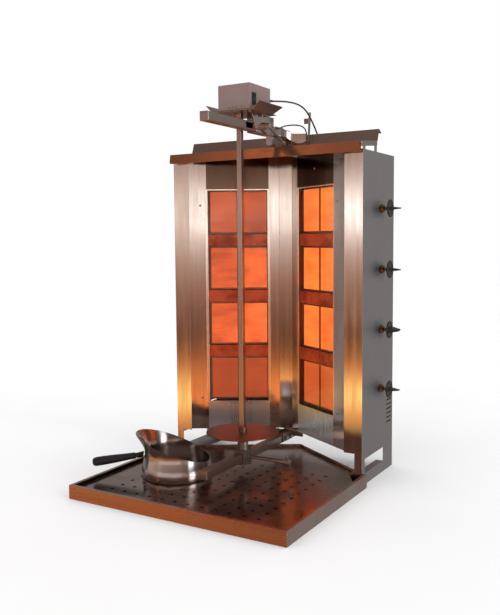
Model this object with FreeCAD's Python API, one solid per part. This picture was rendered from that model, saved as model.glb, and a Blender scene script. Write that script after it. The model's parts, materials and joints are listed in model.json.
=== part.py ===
import FreeCAD
import Part
import math
import os

# Gas doner kebab grill, built as separate pieces in millimetres.
# X runs to the right, Y runs to the back and Z runs up; the feet stand on Z = 0.
# The cabinet's front flanges lie in the plane Y = 0.

os.makedirs("parts", exist_ok=True)
V = FreeCAD.Vector

# Clearances
SEAT_GAP = 0.1
SLIDE_FIT = 0.3
LOOSE_FIT = 0.4
TURN_FIT = 0.05

# Cabinet
HALF_W = 335.0
DEPTH = 252.0
TOP_Z = 989.0
FLOOR_Z = 100.0
SHEET = 1.5
FLANGE_W = 58.0
LEG_W = 24.0
LEG_D = 22.5
REAR_LEG_D = 78.5
RAIL_H = 34.0
LEG_TOP_Z = 78.0
FLANGE_BOTTOM_Z = 96.0
VENT_Z = 150.0
VENT_PITCH = 14.0
VENT_H = 4.0
VENT_LONG = 40.0
VENT_MARGIN = 12.0
SIDE_VENTS = 6
BACK_VENTS = 4
HOOD_TAB_W = 18.0
HOOD_TAB_APART = 88.0

# Heating walls standing in a V
V_ANGLE = 31.0
POST_HALF = 23.6
POST_BACK = 32.0
POST_LIP = 6.0
WINDOW_IN = 58.0
WINDOW_STRIP = 53.2
WINDOW_BOTTOM = 190.0
WINDOW_ABOVE = 93.0
TRIM = 8.0
GLASS = 4.0

# Burners
PLAQUE_H = 131.7
PLAQUE_T = 13.0
PLAQUE_GAP = 13.3
PLAQUE_MARGIN = 10.7
PLAQUE_STRIP = 16.6
ROW_COUNT = 4
ROW_FOOT = 12.8
ROW_HEAD = 7.5
CASE_DEPTH = 36.0
CASE_SETBACK = 22.0
CASE_RIM = 6.0
RAIL_W = 20.0
RAIL_FOOT = 14.0
RAIL_LEDGE = 10.0
RAIL_INSET = 8.0
RAIL_BELOW = 40.0
RAIL_ABOVE = 44.0
MIXER_W = 28.0
MIXER_INSET = 40.0
MIXER_LONG = 42.0
INJECTOR_W = 10.0
INJECTOR_LONG = 60.6

# Gas line
KNOB_Y = 151.0
VALVE_LONG = 44.0
VALVE_W = 22.0
NECK_W = 17.5
MANIFOLD_BACK = 49.0
MANIFOLD_R = 10.5
BRANCH_R = 4.0
SPINDLE_R = 4.0
KNOB_R = 27.0
KNOB_OUT = 25.0
GRIP_OUT = 32.0

# Hood
HOOD_HALF = 336.6
FASCIA_FRONT = 16.0
FASCIA_H = 30.0
FASCIA_LEAN = 5.0
DECK_RISE = 20.0
DECK_DEPTH = 123.0
DECK_SLOPE = 6.04
UPSTAND_H = 36.0
UPSTAND_LEAN = 13.0
LIP_DEPTH = 19.0
LIP_DROP = 10.0
END_FLANGE = 15.0
HOOD_FOOT_Y = 70.0
HOOD_FOOT_W = 30.0

# Spit
SPIT_Y = -125.0
SPIT_SQ = 15.0
SPIT_IN = 17.0
DISC_R = 110.0
DISC_Z = 151.5
DISC_T = 2.0

# Upper arm and motor
ARM_MID = 25.5
ARM_W = 26.0
ARM_RISE = 59.0
ARM_FRONT = -346.0
TUBE_WALL = 2.5
BOX_HALF = 54.0
BOX_LONG = 120.0
BOX_H = 74.0
BOX_AHEAD = 33.0
PLATE_RISE = 51.0
PLATE_T = 2.0
PLATE_LONG = 142.0
PLATE_MARGIN = 14.0
WING = 23.0
SPACER_H = 3.0
SADDLE_LONG = 104.0
SADDLE_WALL = 3.0
LEVER_LONG = 102.0
LEVER_DROP = 24.0

# Upper arm bracket and cable support
RIBBON_T = 2.0
RIBBON_FRONT = 14.0
RIBBON_GRIP = 30.0
FLARE_R = 70.0
FLARE_TURN = 70.0
ARM_BOLTS_APART = 38.0
SUPPORT_X = 106.0

# Switch
SWITCH_W = 16.0
SWITCH_H = 28.0
SWITCH_WALL = 1.0
ROCKER_H = 21.0
ROCKER_RISE = 3.0
ROCKER_PIVOT = 5.0

# Lower arm and carriage
LOW_W = 25.0
LOW_Z0 = 65.0
LOW_FRONT = -338.0
LOW_BACK = 165.0
MOUNT_LONG = 138.0
MOUNT_T = 4.0
MOUNT_EAR = 24.0
CARRIAGE_W = 37.0
CARRIAGE_LONG = 46.0
BEARING_R = 12.5
PIVOT_R = 7.0
CLAMP_LONG = 148.0
CLAMP_R = 5.0

# Tray
TRAY_HALF = 351.5
TRAY_FRONT = -500.0
TRAY_H = 40.0
TRAY_T = 1.2
TRAY_RIM = 10.0
TRAY_APEX_X = 28.0
TRAY_APEX_Y = 202.0
INSERT_Z = 30.0
HOLE_PITCH = 43.7
HOLE_R = 5.4
HOLE_COLUMNS = 12
HOLE_ROWS = 10

# Catch pan
PAN_X = -160.0
PAN_Y = -243.0
PAN_R = 104.0
PAN_NECK_R = 97.0
PAN_MOUTH_R = 124.0
PAN_NECK_Z = 112.0
PAN_MOUTH_Z = 162.0
PAN_CUT_Z = 115.0
PAN_T = 1.5
PAN_TILT = 19.3
GRIP_TURN = -148.9
GRIP_Z = 92.0
GRIP_DROP = 8.5

# Cables
CORD_D = 5.0
LEAD_D = 4.0
CORD_SIDES = 6


def box(x0, x1, y0, y1, z0, z1):
    return Part.makeBox(x1 - x0, y1 - y0, z1 - z0, V(x0, y0, z0))


WAYS = {"x": V(1, 0, 0), "y": V(0, 1, 0), "z": V(0, 0, 1)}


def rod(axis, x, y, z, r, length):
    return Part.makeCylinder(r, length, V(x, y, z), WAYS[axis])


def bar(axis, x, y, z, flats, length, sides=6):
    """A bar with flat sides, measured across its flats."""
    r = flats / 2 / math.cos(math.pi / sides)
    ring = []
    for k in range(sides):
        a = math.pi * (2 * k + 1) / sides
        p, q = r * math.cos(a), r * math.sin(a)
        ring.append({"x": V(x, y + p, z + q), "y": V(x + p, y, z + q), "z": V(x + p, y + q, z)}[axis])
    return Part.Face(Part.makePolygon(ring + [ring[0]])).extrude(WAYS[axis] * length)


def prism_z(points, z0, z1):
    ring = [V(x, y, z0) for x, y in points]
    return Part.Face(Part.makePolygon(ring + [ring[0]])).extrude(V(0, 0, z1 - z0))


def prism_x(points, x0, x1):
    ring = [V(x0, y, z) for y, z in points]
    return Part.Face(Part.makePolygon(ring + [ring[0]])).extrude(V(x1 - x0, 0, 0))


def prism_y(points, y0, y1):
    ring = [V(x, y0, z) for x, z in points]
    return Part.Face(Part.makePolygon(ring + [ring[0]])).extrude(V(0, y1 - y0, 0))


def fold(points, t):
    """Outline of a folded sheet whose face runs along the points, with its thickness on the right."""
    normals = []
    for (a0, b0), (a1, b1) in zip(points, points[1:]):
        run = math.hypot(a1 - a0, b1 - b0)
        normals.append(((b1 - b0) / run, -(a1 - a0) / run))
    back = []
    for i, (a, b) in enumerate(points):
        n0 = normals[max(i - 1, 0)]
        n1 = normals[min(i, len(normals) - 1)]
        scale = t / (1 + n0[0] * n1[0] + n0[1] * n1[1])
        back.append((a + (n0[0] + n1[0]) * scale, b + (n0[1] + n1[1]) * scale))
    return list(points) + back[::-1]


def join(*shapes):
    return shapes[0].multiFuse(list(shapes[1:])).removeSplitter()


def mirror(shape, x=0):
    return shape.mirror(V(x, 0, 0), V(1, 0, 0))


def group(shapes):
    return Part.makeCompound(list(shapes))


def save(name, shape):
    shape.exportStep("parts/" + name + ".step")


# Heating wall frame: s runs outwards along the right wall, d runs back from its face
TAN_V = math.tan(math.radians(V_ANGLE))
COS_V = math.cos(math.radians(V_ANGLE))
SIN_V = math.sin(math.radians(V_ANGLE))
WALL_END_X = HALF_W - FLANGE_W
WALL_END_Y = SHEET + SEAT_GAP
POST_Y = WALL_END_Y + (WALL_END_X - POST_HALF) * TAN_V
APEX_Y = POST_Y + POST_HALF * TAN_V
WINDOW_OUT = WALL_END_X / COS_V - WINDOW_STRIP
WINDOW_TOP = TOP_Z - WINDOW_ABOVE
PLAQUE_W = (WINDOW_OUT - WINDOW_IN - PLAQUE_MARGIN - PLAQUE_STRIP - PLAQUE_GAP) / 2


def on_wall(shape):
    placed = shape.copy()
    placed.rotate(V(0, 0, 0), V(0, 0, 1), -V_ANGLE)
    placed.translate(V(0, APEX_Y, 0))
    return placed


def wall_point(s, d):
    return s * COS_V + d * SIN_V, APEX_Y - s * SIN_V + d * COS_V


# Hood section, from the fascia's lower edge to the back lip
DECK_Z = TOP_Z + DECK_RISE
DECK_FRONT = (-FASCIA_FRONT, DECK_Z)
DECK_BACK = (DECK_DEPTH - FASCIA_FRONT, DECK_Z + DECK_DEPTH * math.tan(math.radians(DECK_SLOPE)))
UPSTAND_TOP = (DECK_BACK[0] + UPSTAND_LEAN, DECK_BACK[1] + UPSTAND_H)
LIP_BACK = (UPSTAND_TOP[0] + LIP_DEPTH, UPSTAND_TOP[1] - LIP_DROP)
HOOD_SECTION = fold(
    [(-FASCIA_FRONT - FASCIA_LEAN, DECK_Z - FASCIA_H), DECK_FRONT, DECK_BACK, UPSTAND_TOP, LIP_BACK],
    SHEET,
)
UNDER_DECK = SHEET / math.cos(math.radians(DECK_SLOPE)) + 0.01


def deck_z(y):
    return DECK_Z + math.tan(math.radians(DECK_SLOPE)) * (y + FASCIA_FRONT)


ARM_Z0 = TOP_Z + ARM_RISE
PLATE_Z = ARM_Z0 + PLATE_RISE
ROW_PITCH = (WINDOW_TOP - ROW_HEAD - PLAQUE_H - WINDOW_BOTTOM - ROW_FOOT) / (ROW_COUNT - 1)
ROW_Z = [WINDOW_BOTTOM + ROW_FOOT + k * ROW_PITCH for k in range(ROW_COUNT)]
ROW_MID = [z + PLAQUE_H / 2 for z in ROW_Z]
INNER_X = HALF_W - SHEET
LEG_X = HALF_W - LEG_W
BACK_Y = DEPTH - 2 * SHEET

# Side panels: one folded sheet each, with front flange, legs, bottom rail and rear return
side = join(
    box(INNER_X, HALF_W, 0, DEPTH, 0, TOP_Z),
    box(HALF_W - FLANGE_W, INNER_X, 0, SHEET, FLANGE_BOTTOM_Z, TOP_Z),
    box(LEG_X, INNER_X, 0, SHEET, 0, FLANGE_BOTTOM_Z),
    box(LEG_X, INNER_X, DEPTH - SHEET, DEPTH, 0, TOP_Z),
    box(LEG_X, INNER_X, SHEET, DEPTH - SHEET, 0, SHEET),
    box(LEG_X, INNER_X, LEG_D, DEPTH - REAR_LEG_D, RAIL_H - SHEET, RAIL_H),
)
side = side.cut(box(LEG_X - 1, HALF_W + 1, LEG_D, DEPTH - REAR_LEG_D, RAIL_H, LEG_TOP_Z))
for y0 in (0.0, HOOD_TAB_APART):
    y1 = y0 + HOOD_TAB_W
    tab = [(y0, TOP_Z - 2), (y1, TOP_Z - 2), (y1, deck_z(y1) - UNDER_DECK), (y0, deck_z(y0) - UNDER_DECK)]
    side = join(side, prism_x(tab, INNER_X, HALF_W))
vent_y = DEPTH - VENT_MARGIN
for k in range(SIDE_VENTS):
    z = VENT_Z + VENT_PITCH * k
    side = side.cut(box(INNER_X - 1, HALF_W + 1, vent_y - VENT_LONG, vent_y, z, z + VENT_H))
save("side_panel_left", mirror(side))
for z in ROW_MID:
    side = side.cut(bar("x", INNER_X - 1, KNOB_Y, z, NECK_W + 2 * SEAT_GAP, 6, 8))
    side = side.cut(bar("x", INNER_X - 1, KNOB_Y, z + 36, 3.2, 6))
save("side_panel_right", side)

# Back panel with cooling slots and the hole for the gas inlet
MANIFOLD_X = INNER_X - VALVE_LONG + MANIFOLD_R
MANIFOLD_Y = KNOB_Y + MANIFOLD_BACK
INLET_Z = FLOOR_Z + 40
back = box(-INNER_X, INNER_X, BACK_Y, BACK_Y + SHEET, FLANGE_BOTTOM_Z, TOP_Z - SHEET)
for x in (-HALF_W * 0.54, 0, HALF_W * 0.54):
    for k in range(BACK_VENTS):
        for z in (FLOOR_Z + 80 + VENT_PITCH * k, TOP_Z - 129 + VENT_PITCH * k):
            back = back.cut(box(x - 50, x + 50, BACK_Y - 5, DEPTH + 5, z, z + VENT_H))
back = back.cut(rod("y", MANIFOLD_X, BACK_Y - 5, INLET_Z, MANIFOLD_R + LOOSE_FIT, 20))
save("back_panel", back)

# Heating walls: folded behind the centre post and behind the front flanges
WALL_IN_X = POST_HALF + SEAT_GAP
wall = prism_z(
    fold(
        [
            (WALL_IN_X, POST_Y + POST_BACK - POST_LIP),
            (WALL_IN_X, POST_Y - SEAT_GAP * TAN_V),
            (WALL_END_X, WALL_END_Y),
            (LEG_X - SEAT_GAP, WALL_END_Y),
        ],
        -SHEET,
    ),
    FLOOR_Z + SHEET,
    TOP_Z - SHEET,
)
wall = wall.cut(on_wall(box(WINDOW_IN, WINDOW_OUT, -8, 14, WINDOW_BOTTOM, WINDOW_TOP)))
save("heating_wall_right", wall)
save("heating_wall_left", mirror(wall))

# Centre post closing the V
post = prism_z(
    fold(
        [
            (POST_HALF, POST_Y + POST_BACK),
            (POST_HALF, POST_Y),
            (-POST_HALF, POST_Y),
            (-POST_HALF, POST_Y + POST_BACK),
        ],
        SHEET,
    ),
    FLOOR_Z + SHEET,
    TOP_Z - SHEET,
)
save("centre_post", post)

# Top and bottom plates close the burner space and follow the V
half_plan = [
    (POST_HALF, POST_Y + 0.5),
    (WALL_END_X + 0.5, WALL_END_Y + 0.5),
    (INNER_X, WALL_END_Y),
    (INNER_X, BACK_Y),
]
plan = half_plan + [(-x, y) for x, y in half_plan[::-1]]
CORD_X = 128.0
CORD_Y = LIP_BACK[0] + 11
top = prism_z(plan, TOP_Z - SHEET, TOP_Z)
top = top.cut(rod("z", CORD_X, CORD_Y, TOP_Z - 3, CORD_D / 2 + 0.6, 6))
save("top_plate", top)
bottom = prism_z(plan, FLOOR_Z, FLOOR_Z + SHEET)
for x in (-HALF_W * 0.69, HALF_W * 0.69):
    for k in range(6):
        y = 120 + 16 * k
        bottom = bottom.cut(box(x - 40, x + 40, y, y + 6, FLOOR_Z - 1, FLOOR_Z + 3))
save("bottom_plate", bottom)

# Window trims and heat-resistant glass behind the openings
trim = box(WINDOW_IN - 6, WINDOW_OUT + 6, SHEET, 2 * SHEET, WINDOW_BOTTOM - 6, WINDOW_TOP + 6)
trim = trim.cut(box(WINDOW_IN + TRIM, WINDOW_OUT - TRIM, 0, 6, WINDOW_BOTTOM + 4, WINDOW_TOP - 4))
trim = on_wall(trim)
save("window_trims", group([trim, mirror(trim)]))
GLASS_BACK = 2 * SHEET + GLASS
pane = on_wall(box(WINDOW_IN - 4, WINDOW_OUT + 4, 2 * SHEET, GLASS_BACK, WINDOW_BOTTOM - 4, WINDOW_TOP + 4))
save("glass_panes", group([pane, mirror(pane)]))

# Mounting rails either side of the window carry the burners, the bridges and the glass clips
CASE_D0 = CASE_SETBACK
CASE_D1 = CASE_D0 + CASE_DEPTH
RAIL_IN = WINDOW_IN - RAIL_INSET
RAIL_OUT = WINDOW_OUT + RAIL_LEDGE
RAIL_Z0 = WINDOW_BOTTOM - RAIL_BELOW
RAIL_Z1 = WINDOW_TOP + RAIL_ABOVE
outer_rail = join(
    box(RAIL_OUT, RAIL_OUT + RAIL_W, SHEET, 2 * SHEET, RAIL_Z0, RAIL_Z1),
    box(RAIL_OUT, RAIL_OUT + SHEET, SHEET, CASE_D0, RAIL_Z0, RAIL_Z1),
    box(RAIL_OUT - RAIL_LEDGE, RAIL_OUT + SHEET, CASE_D0 - SHEET, CASE_D0, RAIL_Z0, RAIL_Z1),
)
inner_rail = join(
    box(RAIL_IN - RAIL_FOOT, RAIL_IN, SHEET, 2 * SHEET, RAIL_Z0, RAIL_Z1),
    box(RAIL_IN - SHEET, RAIL_IN, SHEET, CASE_D0, RAIL_Z0, RAIL_Z1),
    box(RAIL_IN - SHEET, RAIL_IN + RAIL_INSET, CASE_D0 - SHEET, CASE_D0, RAIL_Z0, RAIL_Z1),
)
rails = [on_wall(outer_rail), on_wall(inner_rail)]
save("burner_rails", group(rails + [mirror(r) for r in rails]))
clips = []
for share in (0.08, 0.38, 0.62, 0.92):
    z = WINDOW_BOTTOM + share * (WINDOW_TOP - WINDOW_BOTTOM) - 8
    for web, tip in ((RAIL_OUT, -1), (RAIL_IN, 1)):
        lug = [(web, GLASS_BACK), (web, CASE_D0 - 7), (web + tip, CASE_D0 - 7), (web + tip, GLASS_BACK + 1)]
        lug += [(web + 12 * tip, GLASS_BACK + 1), (web + 12 * tip, GLASS_BACK)]
        clips.append(on_wall(prism_z(lug, z, z + 16)))
save("glass_clips", group(clips + [mirror(c) for c in clips]))

# Bridges shield the spaces between the burners
bridges = []
for z0, z1 in zip(ROW_Z, ROW_Z[1:]):
    low, high = z0 + PLAQUE_H + CASE_RIM + 2, z1 - CASE_RIM - 2
    outline = fold([(CASE_D0 - 9, low), (CASE_D0 - 6, low), (CASE_D0 - 6, high), (CASE_D0 - 2, high)], 1.0)
    bridges.append(on_wall(prism_x(outline, RAIL_IN, RAIL_OUT)))
save("burner_bridges", group(bridges + [mirror(b) for b in bridges]))

# Radiant burners: folded casings with a square mixer duct, each holding two ceramic plaques
PLAQUE_S = [WINDOW_IN + PLAQUE_MARGIN, WINDOW_IN + PLAQUE_MARGIN + PLAQUE_W + PLAQUE_GAP]
CASE_IN = WINDOW_IN + 0.5
CASE_OUT = WINDOW_OUT - CASE_RIM
MIXER_S = WINDOW_OUT - MIXER_INSET
MIXER_END = CASE_D1 + MIXER_LONG
INJECTOR_D = CASE_D1 + INJECTOR_LONG


def burner_case(z):
    low, high = z - CASE_RIM, z + PLAQUE_H + CASE_RIM
    mid = z + PLAQUE_H / 2

    def duct(half, d0, d1):
        return box(MIXER_S - half, MIXER_S + half, d0, d1, mid - half, mid + half)

    def shell(wall):
        return box(CASE_IN + wall, CASE_OUT - wall, CASE_D0 + wall, CASE_D1 - wall, low + wall, high - wall)

    flanges = box(RAIL_IN + 1, RAIL_OUT - 1, CASE_D0, CASE_D0 + SHEET, low, high)
    case = join(shell(0), flanges, duct(MIXER_W / 2, CASE_D1 - SHEET, MIXER_END))
    case = case.cut(shell(SHEET)).cut(duct(MIXER_W / 2 - 1.2, CASE_D1 - 4, MIXER_END - 1.2))
    for s in PLAQUE_S:
        case = case.cut(box(s, s + PLAQUE_W, CASE_D0 - 1, CASE_D0 + 3, z, z + PLAQUE_H))
    return case.cut(bar("y", MIXER_S, MIXER_END - 3, mid, INJECTOR_W + 2 * SEAT_GAP, 6))


cases = [on_wall(burner_case(z)) for z in ROW_Z]
save("burner_casings", group(cases + [mirror(c) for c in cases]))
tiles = []
for z in ROW_Z:
    for s in PLAQUE_S:
        tiles.append(on_wall(box(s, s + PLAQUE_W, CASE_D0 - 2, CASE_D0 - 2 + PLAQUE_T, z, z + PLAQUE_H)))
save("ceramic_plaques", group(tiles + [mirror(t) for t in tiles]))


# Injectors: hexagon bodies in the ends of the mixer ducts
def injector(z):
    nozzle = bar("y", MIXER_S, MIXER_END - 10, z, INJECTOR_W, INJECTOR_D - MIXER_END + 10)
    return join(nozzle, bar("z", MIXER_S, INJECTOR_D, z - 9, 16, 18))


injectors = [on_wall(injector(z)) for z in ROW_MID]
save("gas_injectors", group(injectors + [mirror(i) for i in injectors]))

# Gas line: inlet, upright manifold, four valves and the burner pipes
VALVE_X = INNER_X - VALVE_LONG
half_valve = VALVE_W / 2
stub_y = KNOB_Y + half_valve
stubs = [bar("y", MANIFOLD_X, stub_y, z, 12, MANIFOLD_Y - stub_y, 8) for z in ROW_MID]
manifold = join(
    bar("z", MANIFOLD_X, MANIFOLD_Y, INLET_Z - 18, 2 * MANIFOLD_R, ROW_MID[-1] - INLET_Z + 36, 12),
    bar("y", MANIFOLD_X, MANIFOLD_Y, INLET_Z, 2 * MANIFOLD_R - 2, BACK_Y - 11 - MANIFOLD_Y, 12),
    *stubs,
)
save("gas_manifold", manifold)
inlet = join(
    rod("y", MANIFOLD_X, BACK_Y - 11, INLET_Z, MANIFOLD_R, 51),
    bar("y", MANIFOLD_X, DEPTH, INLET_Z, 27, 12),
).cut(bar("y", MANIFOLD_X, DEPTH - 2, INLET_Z, 15, 60, 12))
save("gas_inlet", inlet)
valves = []
for z in ROW_MID:
    body = join(
        box(VALVE_X, INNER_X, KNOB_Y - half_valve, KNOB_Y + half_valve, z - half_valve, z + half_valve),
        bar("x", INNER_X, KNOB_Y, z, NECK_W, SHEET + 9, 8),
        bar("x", HALF_W, KNOB_Y, z, 22, 5),
    )
    valves.append(body.cut(rod("x", INNER_X - 15, KNOB_Y, z, SPINDLE_R + TURN_FIT, 40)))
save("gas_valves", group(valves))

INJ_X, INJ_Y = wall_point(MIXER_S, INJECTOR_D)
LOOP_Y = BACK_Y - 21
pipes = []
for z in ROW_MID:
    holder = on_wall(injector(z))
    pipes.append(bar("x", INJ_X, KNOB_Y, z, 2 * BRANCH_R, VALVE_X - INJ_X, 8).cut(holder))
    half_pipe = BRANCH_R
    loop = fold(
        [
            (-INJ_X - half_pipe, INJ_Y),
            (-INJ_X - half_pipe, LOOP_Y),
            (INJ_X + half_pipe, LOOP_Y),
            (INJ_X + half_pipe, INJ_Y),
        ],
        2 * half_pipe,
    )
    cross = prism_z(loop, z - half_pipe, z + half_pipe)
    pipes.append(cross.cut(holder).cut(mirror(holder)))
save("burner_pipes", group(pipes))

# Knobs: a round disc with a tapered grip across it, on a spindle; each stands at its own angle
DISC_X = HALF_W + KNOB_OUT
KNOB_ANGLES = [4, -8, 14, -3]


def oblong(x, half_y, half_z):
    ring = [V(x, -half_y, -half_z), V(x, half_y, -half_z), V(x, half_y, half_z), V(x, -half_y, half_z)]
    return Part.makePolygon(ring + [ring[0]])


for number, z in enumerate(ROW_MID[::-1], 1):
    spindle = rod("x", INNER_X - 14, KNOB_Y, z, SPINDLE_R, KNOB_OUT + 15.5)
    disc = bar("x", DISC_X, KNOB_Y, z, 2 * KNOB_R, 4, 24)
    hub = bar("x", DISC_X - 8, KNOB_Y, z, 18, 9)
    foot = oblong(DISC_X + 3, KNOB_R - 5, 5)
    tip = oblong(DISC_X + 3 + GRIP_OUT, 8, 1.5)
    grip = Part.makeLoft([foot, tip], True, True)
    grip.rotate(V(0, 0, 0), V(1, 0, 0), KNOB_ANGLES[(number - 1) % len(KNOB_ANGLES)])
    grip.translate(V(0, KNOB_Y, z))
    save("gas_knob_" + str(number), join(disc, hub, grip).cut(spindle))
    save("knob_spindle_" + str(number), spindle)

# Hood: folded fascia, sloping deck, upstand, back lip and end flanges
hood = prism_x(HOOD_SECTION, -HOOD_HALF, HOOD_HALF)
y0, y1 = 2 - FASCIA_FRONT, DECK_BACK[0] - 2
front_z, back_z = deck_z(y0) - 1, deck_z(y1) - 1
end = prism_x(
    [(y0, front_z + 1 - END_FLANGE), (y1, back_z + 1 - END_FLANGE), (y1, back_z), (y0, front_z)],
    HOOD_HALF - SHEET,
    HOOD_HALF,
)
hood = join(hood, end, mirror(end))
low_edge = DECK_Z - FASCIA_H
corner = prism_y(
    [(HOOD_HALF - 5, low_edge - 1), (HOOD_HALF + 5, low_edge - 1), (HOOD_HALF + 5, low_edge + 12)],
    -FASCIA_FRONT - 30,
    0,
)
hood = hood.cut(corner).cut(mirror(corner))
save("hood", hood)
brackets = []
for x in (-HALF_W * 0.64, HALF_W * 0.55):
    y0, y1 = HOOD_FOOT_Y, HOOD_FOOT_Y + HOOD_FOOT_W
    web = [(y0, TOP_Z), (y1, TOP_Z), (y1, deck_z(y1) - UNDER_DECK), (y0, deck_z(y0) - UNDER_DECK)]
    brackets.append(join(prism_x(web, x, x + 2), box(x, x + HOOD_FOOT_W, y0, y1, TOP_Z, TOP_Z + 2)))
save("hood_brackets", group(brackets))

# Upper arm: square tube with a window in its side, held by a folded bracket on the hood
ARM_X0 = ARM_MID - ARM_W / 2
ARM_X1 = ARM_MID + ARM_W / 2
ARM_TOP = ARM_Z0 + ARM_W


def upstand_y(z):
    return DECK_BACK[0] + UPSTAND_LEAN / UPSTAND_H * (z - DECK_BACK[1])


ARM_BACK = upstand_y(ARM_Z0) - RIBBON_T - SLIDE_FIT


def square_tube(x_mid, width, y0, y1, z0):
    half = width / 2
    outer = box(x_mid - half, x_mid + half, y0, y1, z0, z0 + width)
    half -= TUBE_WALL
    return outer.cut(box(x_mid - half, x_mid + half, y0 - 1, y1 + 1, z0 + TUBE_WALL, z0 + width - TUBE_WALL))


def end_plug(x_mid, width, y0, z0):
    half = width / 2
    inner = half - TUBE_WALL - SEAT_GAP
    face = box(x_mid - half, x_mid + half, y0 - 3, y0, z0, z0 + width)
    z_mid = z0 + half
    return join(face, box(x_mid - inner, x_mid + inner, y0 - 1, y0 + 12, z_mid - inner, z_mid + inner))


arm = square_tube(ARM_MID, ARM_W, ARM_FRONT, ARM_BACK, ARM_Z0)
arm = arm.cut(box(ARM_MID, ARM_X1 + 1, SPIT_Y - 29, SPIT_Y + 11, ARM_Z0 + 5, ARM_TOP - 4))
save("upper_arm", arm)

# Bracket: a plate bolted to the upstand, and two ribbons that flare from the arm to the upstand
PLATE_LOW_Z = DECK_BACK[1] + 4
PLATE_HIGH_Z = UPSTAND_TOP[1] - 2
back_plate = prism_x(
    [
        (upstand_y(PLATE_LOW_Z) - RIBBON_T, PLATE_LOW_Z),
        (upstand_y(PLATE_LOW_Z) - 0.05, PLATE_LOW_Z),
        (upstand_y(PLATE_HIGH_Z) - 0.05, PLATE_HIGH_Z),
        (upstand_y(PLATE_HIGH_Z) - RIBBON_T, PLATE_HIGH_Z),
    ],
    ARM_MID - ARM_BOLTS_APART / 2 - 8,
    ARM_MID + ARM_BOLTS_APART / 2 + 8,
)


def ribbon():
    """A sheet that runs along the arm, turns outwards on an arc and meets the upstand."""
    centre = V(ARM_X1 + SEAT_GAP + FLARE_R, RIBBON_FRONT + RIBBON_GRIP, TOP_Z)
    turn = math.radians(FLARE_TURN)
    end_x = SUPPORT_X - 7

    def on_arc(r, a):
        return centre + V(-r * math.cos(a), r * math.sin(a), 0)

    def front(r):
        return V(centre.x - r, RIBBON_FRONT, TOP_Z)

    def end(r):
        start = on_arc(r, turn)
        return V(end_x, start.y + (end_x - start.x) / math.tan(turn), TOP_Z)

    back_r, front_r = FLARE_R, FLARE_R - RIBBON_T
    outline = [
        Part.makeLine(front(back_r), on_arc(back_r, 0)),
        Part.Arc(on_arc(back_r, 0), on_arc(back_r, turn / 2), on_arc(back_r, turn)).toShape(),
        Part.makeLine(on_arc(back_r, turn), end(back_r)),
        Part.makeLine(end(back_r), end(front_r)),
        Part.makeLine(end(front_r), on_arc(front_r, turn)),
        Part.Arc(on_arc(front_r, turn), on_arc(front_r, turn / 2), on_arc(front_r, 0)).toShape(),
        Part.makeLine(on_arc(front_r, 0), front(front_r)),
        Part.makeLine(front(front_r), front(back_r)),
    ]
    sheet = Part.Face(Part.Wire(outline)).extrude(V(0, 0, ARM_TOP + 10 - TOP_Z))
    low, high = DECK_BACK[1] + 10, UPSTAND_TOP[1] + 3
    side_view = [
        (RIBBON_FRONT - 1, ARM_Z0 + 2),
        (DECK_BACK[0] - 35, ARM_Z0 + 2),
        (DECK_BACK[0] - 7, low),
        (upstand_y(low), low),
        (upstand_y(high), high),
        (DECK_BACK[0] - 17, high),
        (DECK_BACK[0] - 47, ARM_TOP + 2),
        (RIBBON_FRONT - 1, ARM_TOP + 2),
    ]
    return sheet.common(prism_x(side_view, ARM_X1, SUPPORT_X))


save("upper_arm_bracket", group([back_plate, ribbon(), mirror(ribbon(), ARM_MID)]))
bolts = []
for z in (PLATE_LOW_Z + 5, PLATE_HIGH_Z - 9):
    seat = V(ARM_MID + ARM_BOLTS_APART / 2, upstand_y(z) - RIBBON_T - 0.05, z)
    bolt = bar("y", seat.x, seat.y - 6, z, 11, 6)
    bolt.rotate(seat, V(1, 0, 0), -math.degrees(math.atan(UPSTAND_LEAN / UPSTAND_H)))
    bolts += [bolt, mirror(bolt, ARM_MID)]

# Cable support standing on the hood's upstand
support = prism_x(
    [(104, TOP_Z + 36), (118, TOP_Z + 73), (126, TOP_Z + 137), (112, TOP_Z + 137), (106, TOP_Z + 73)],
    SUPPORT_X,
    SUPPORT_X + 2,
)
support = join(support, box(SUPPORT_X - 14, SUPPORT_X + 2, 107, 113, TOP_Z + 101, TOP_Z + 117))
save("cable_support", support.cut(prism_x(HOOD_SECTION, SUPPORT_X - 20, SUPPORT_X + 20)))

# Motor carriage: a saddle round the arm carries a winged plate
SADDLE_Y1 = 4.0
SADDLE_Y0 = SADDLE_Y1 - SADDLE_LONG
SADDLE_Z0 = ARM_Z0 - SLIDE_FIT - 2.5
OUT_X = ARM_X1 + SLIDE_FIT
IN_X = ARM_X0 - SLIDE_FIT
CLAMP_Y = SADDLE_Y1 - 62
CLAMP_Z = ARM_Z0 + 19
BOSS_LONG = 8.0
saddle = join(
    prism_x(
        [(SADDLE_Y0, SADDLE_Z0), (SADDLE_Y1, SADDLE_Z0), (SADDLE_Y1, PLATE_Z), (SADDLE_Y0 - 26, PLATE_Z)],
        OUT_X,
        OUT_X + SADDLE_WALL,
    ),
    box(IN_X - SADDLE_WALL, IN_X, SADDLE_Y0, SADDLE_Y1, SADDLE_Z0, PLATE_Z),
    box(IN_X - SADDLE_WALL, OUT_X + SADDLE_WALL, SADDLE_Y0, SADDLE_Y1, SADDLE_Z0, ARM_Z0 - SLIDE_FIT),
    box(IN_X, OUT_X, SADDLE_Y0, SADDLE_Y1, ARM_TOP + SLIDE_FIT, ARM_TOP + SLIDE_FIT + 2.5),
    bar("x", OUT_X + SADDLE_WALL, CLAMP_Y, CLAMP_Z, 2 * CLAMP_R + 10, BOSS_LONG, 8),
    box(OUT_X, OUT_X + 8, SADDLE_Y1 - SHEET, SADDLE_Y1, CLAMP_Z - 5, CLAMP_Z + 5),
).cut(rod("x", OUT_X - 1, CLAMP_Y, CLAMP_Z, CLAMP_R + TURN_FIT, 20))
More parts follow.
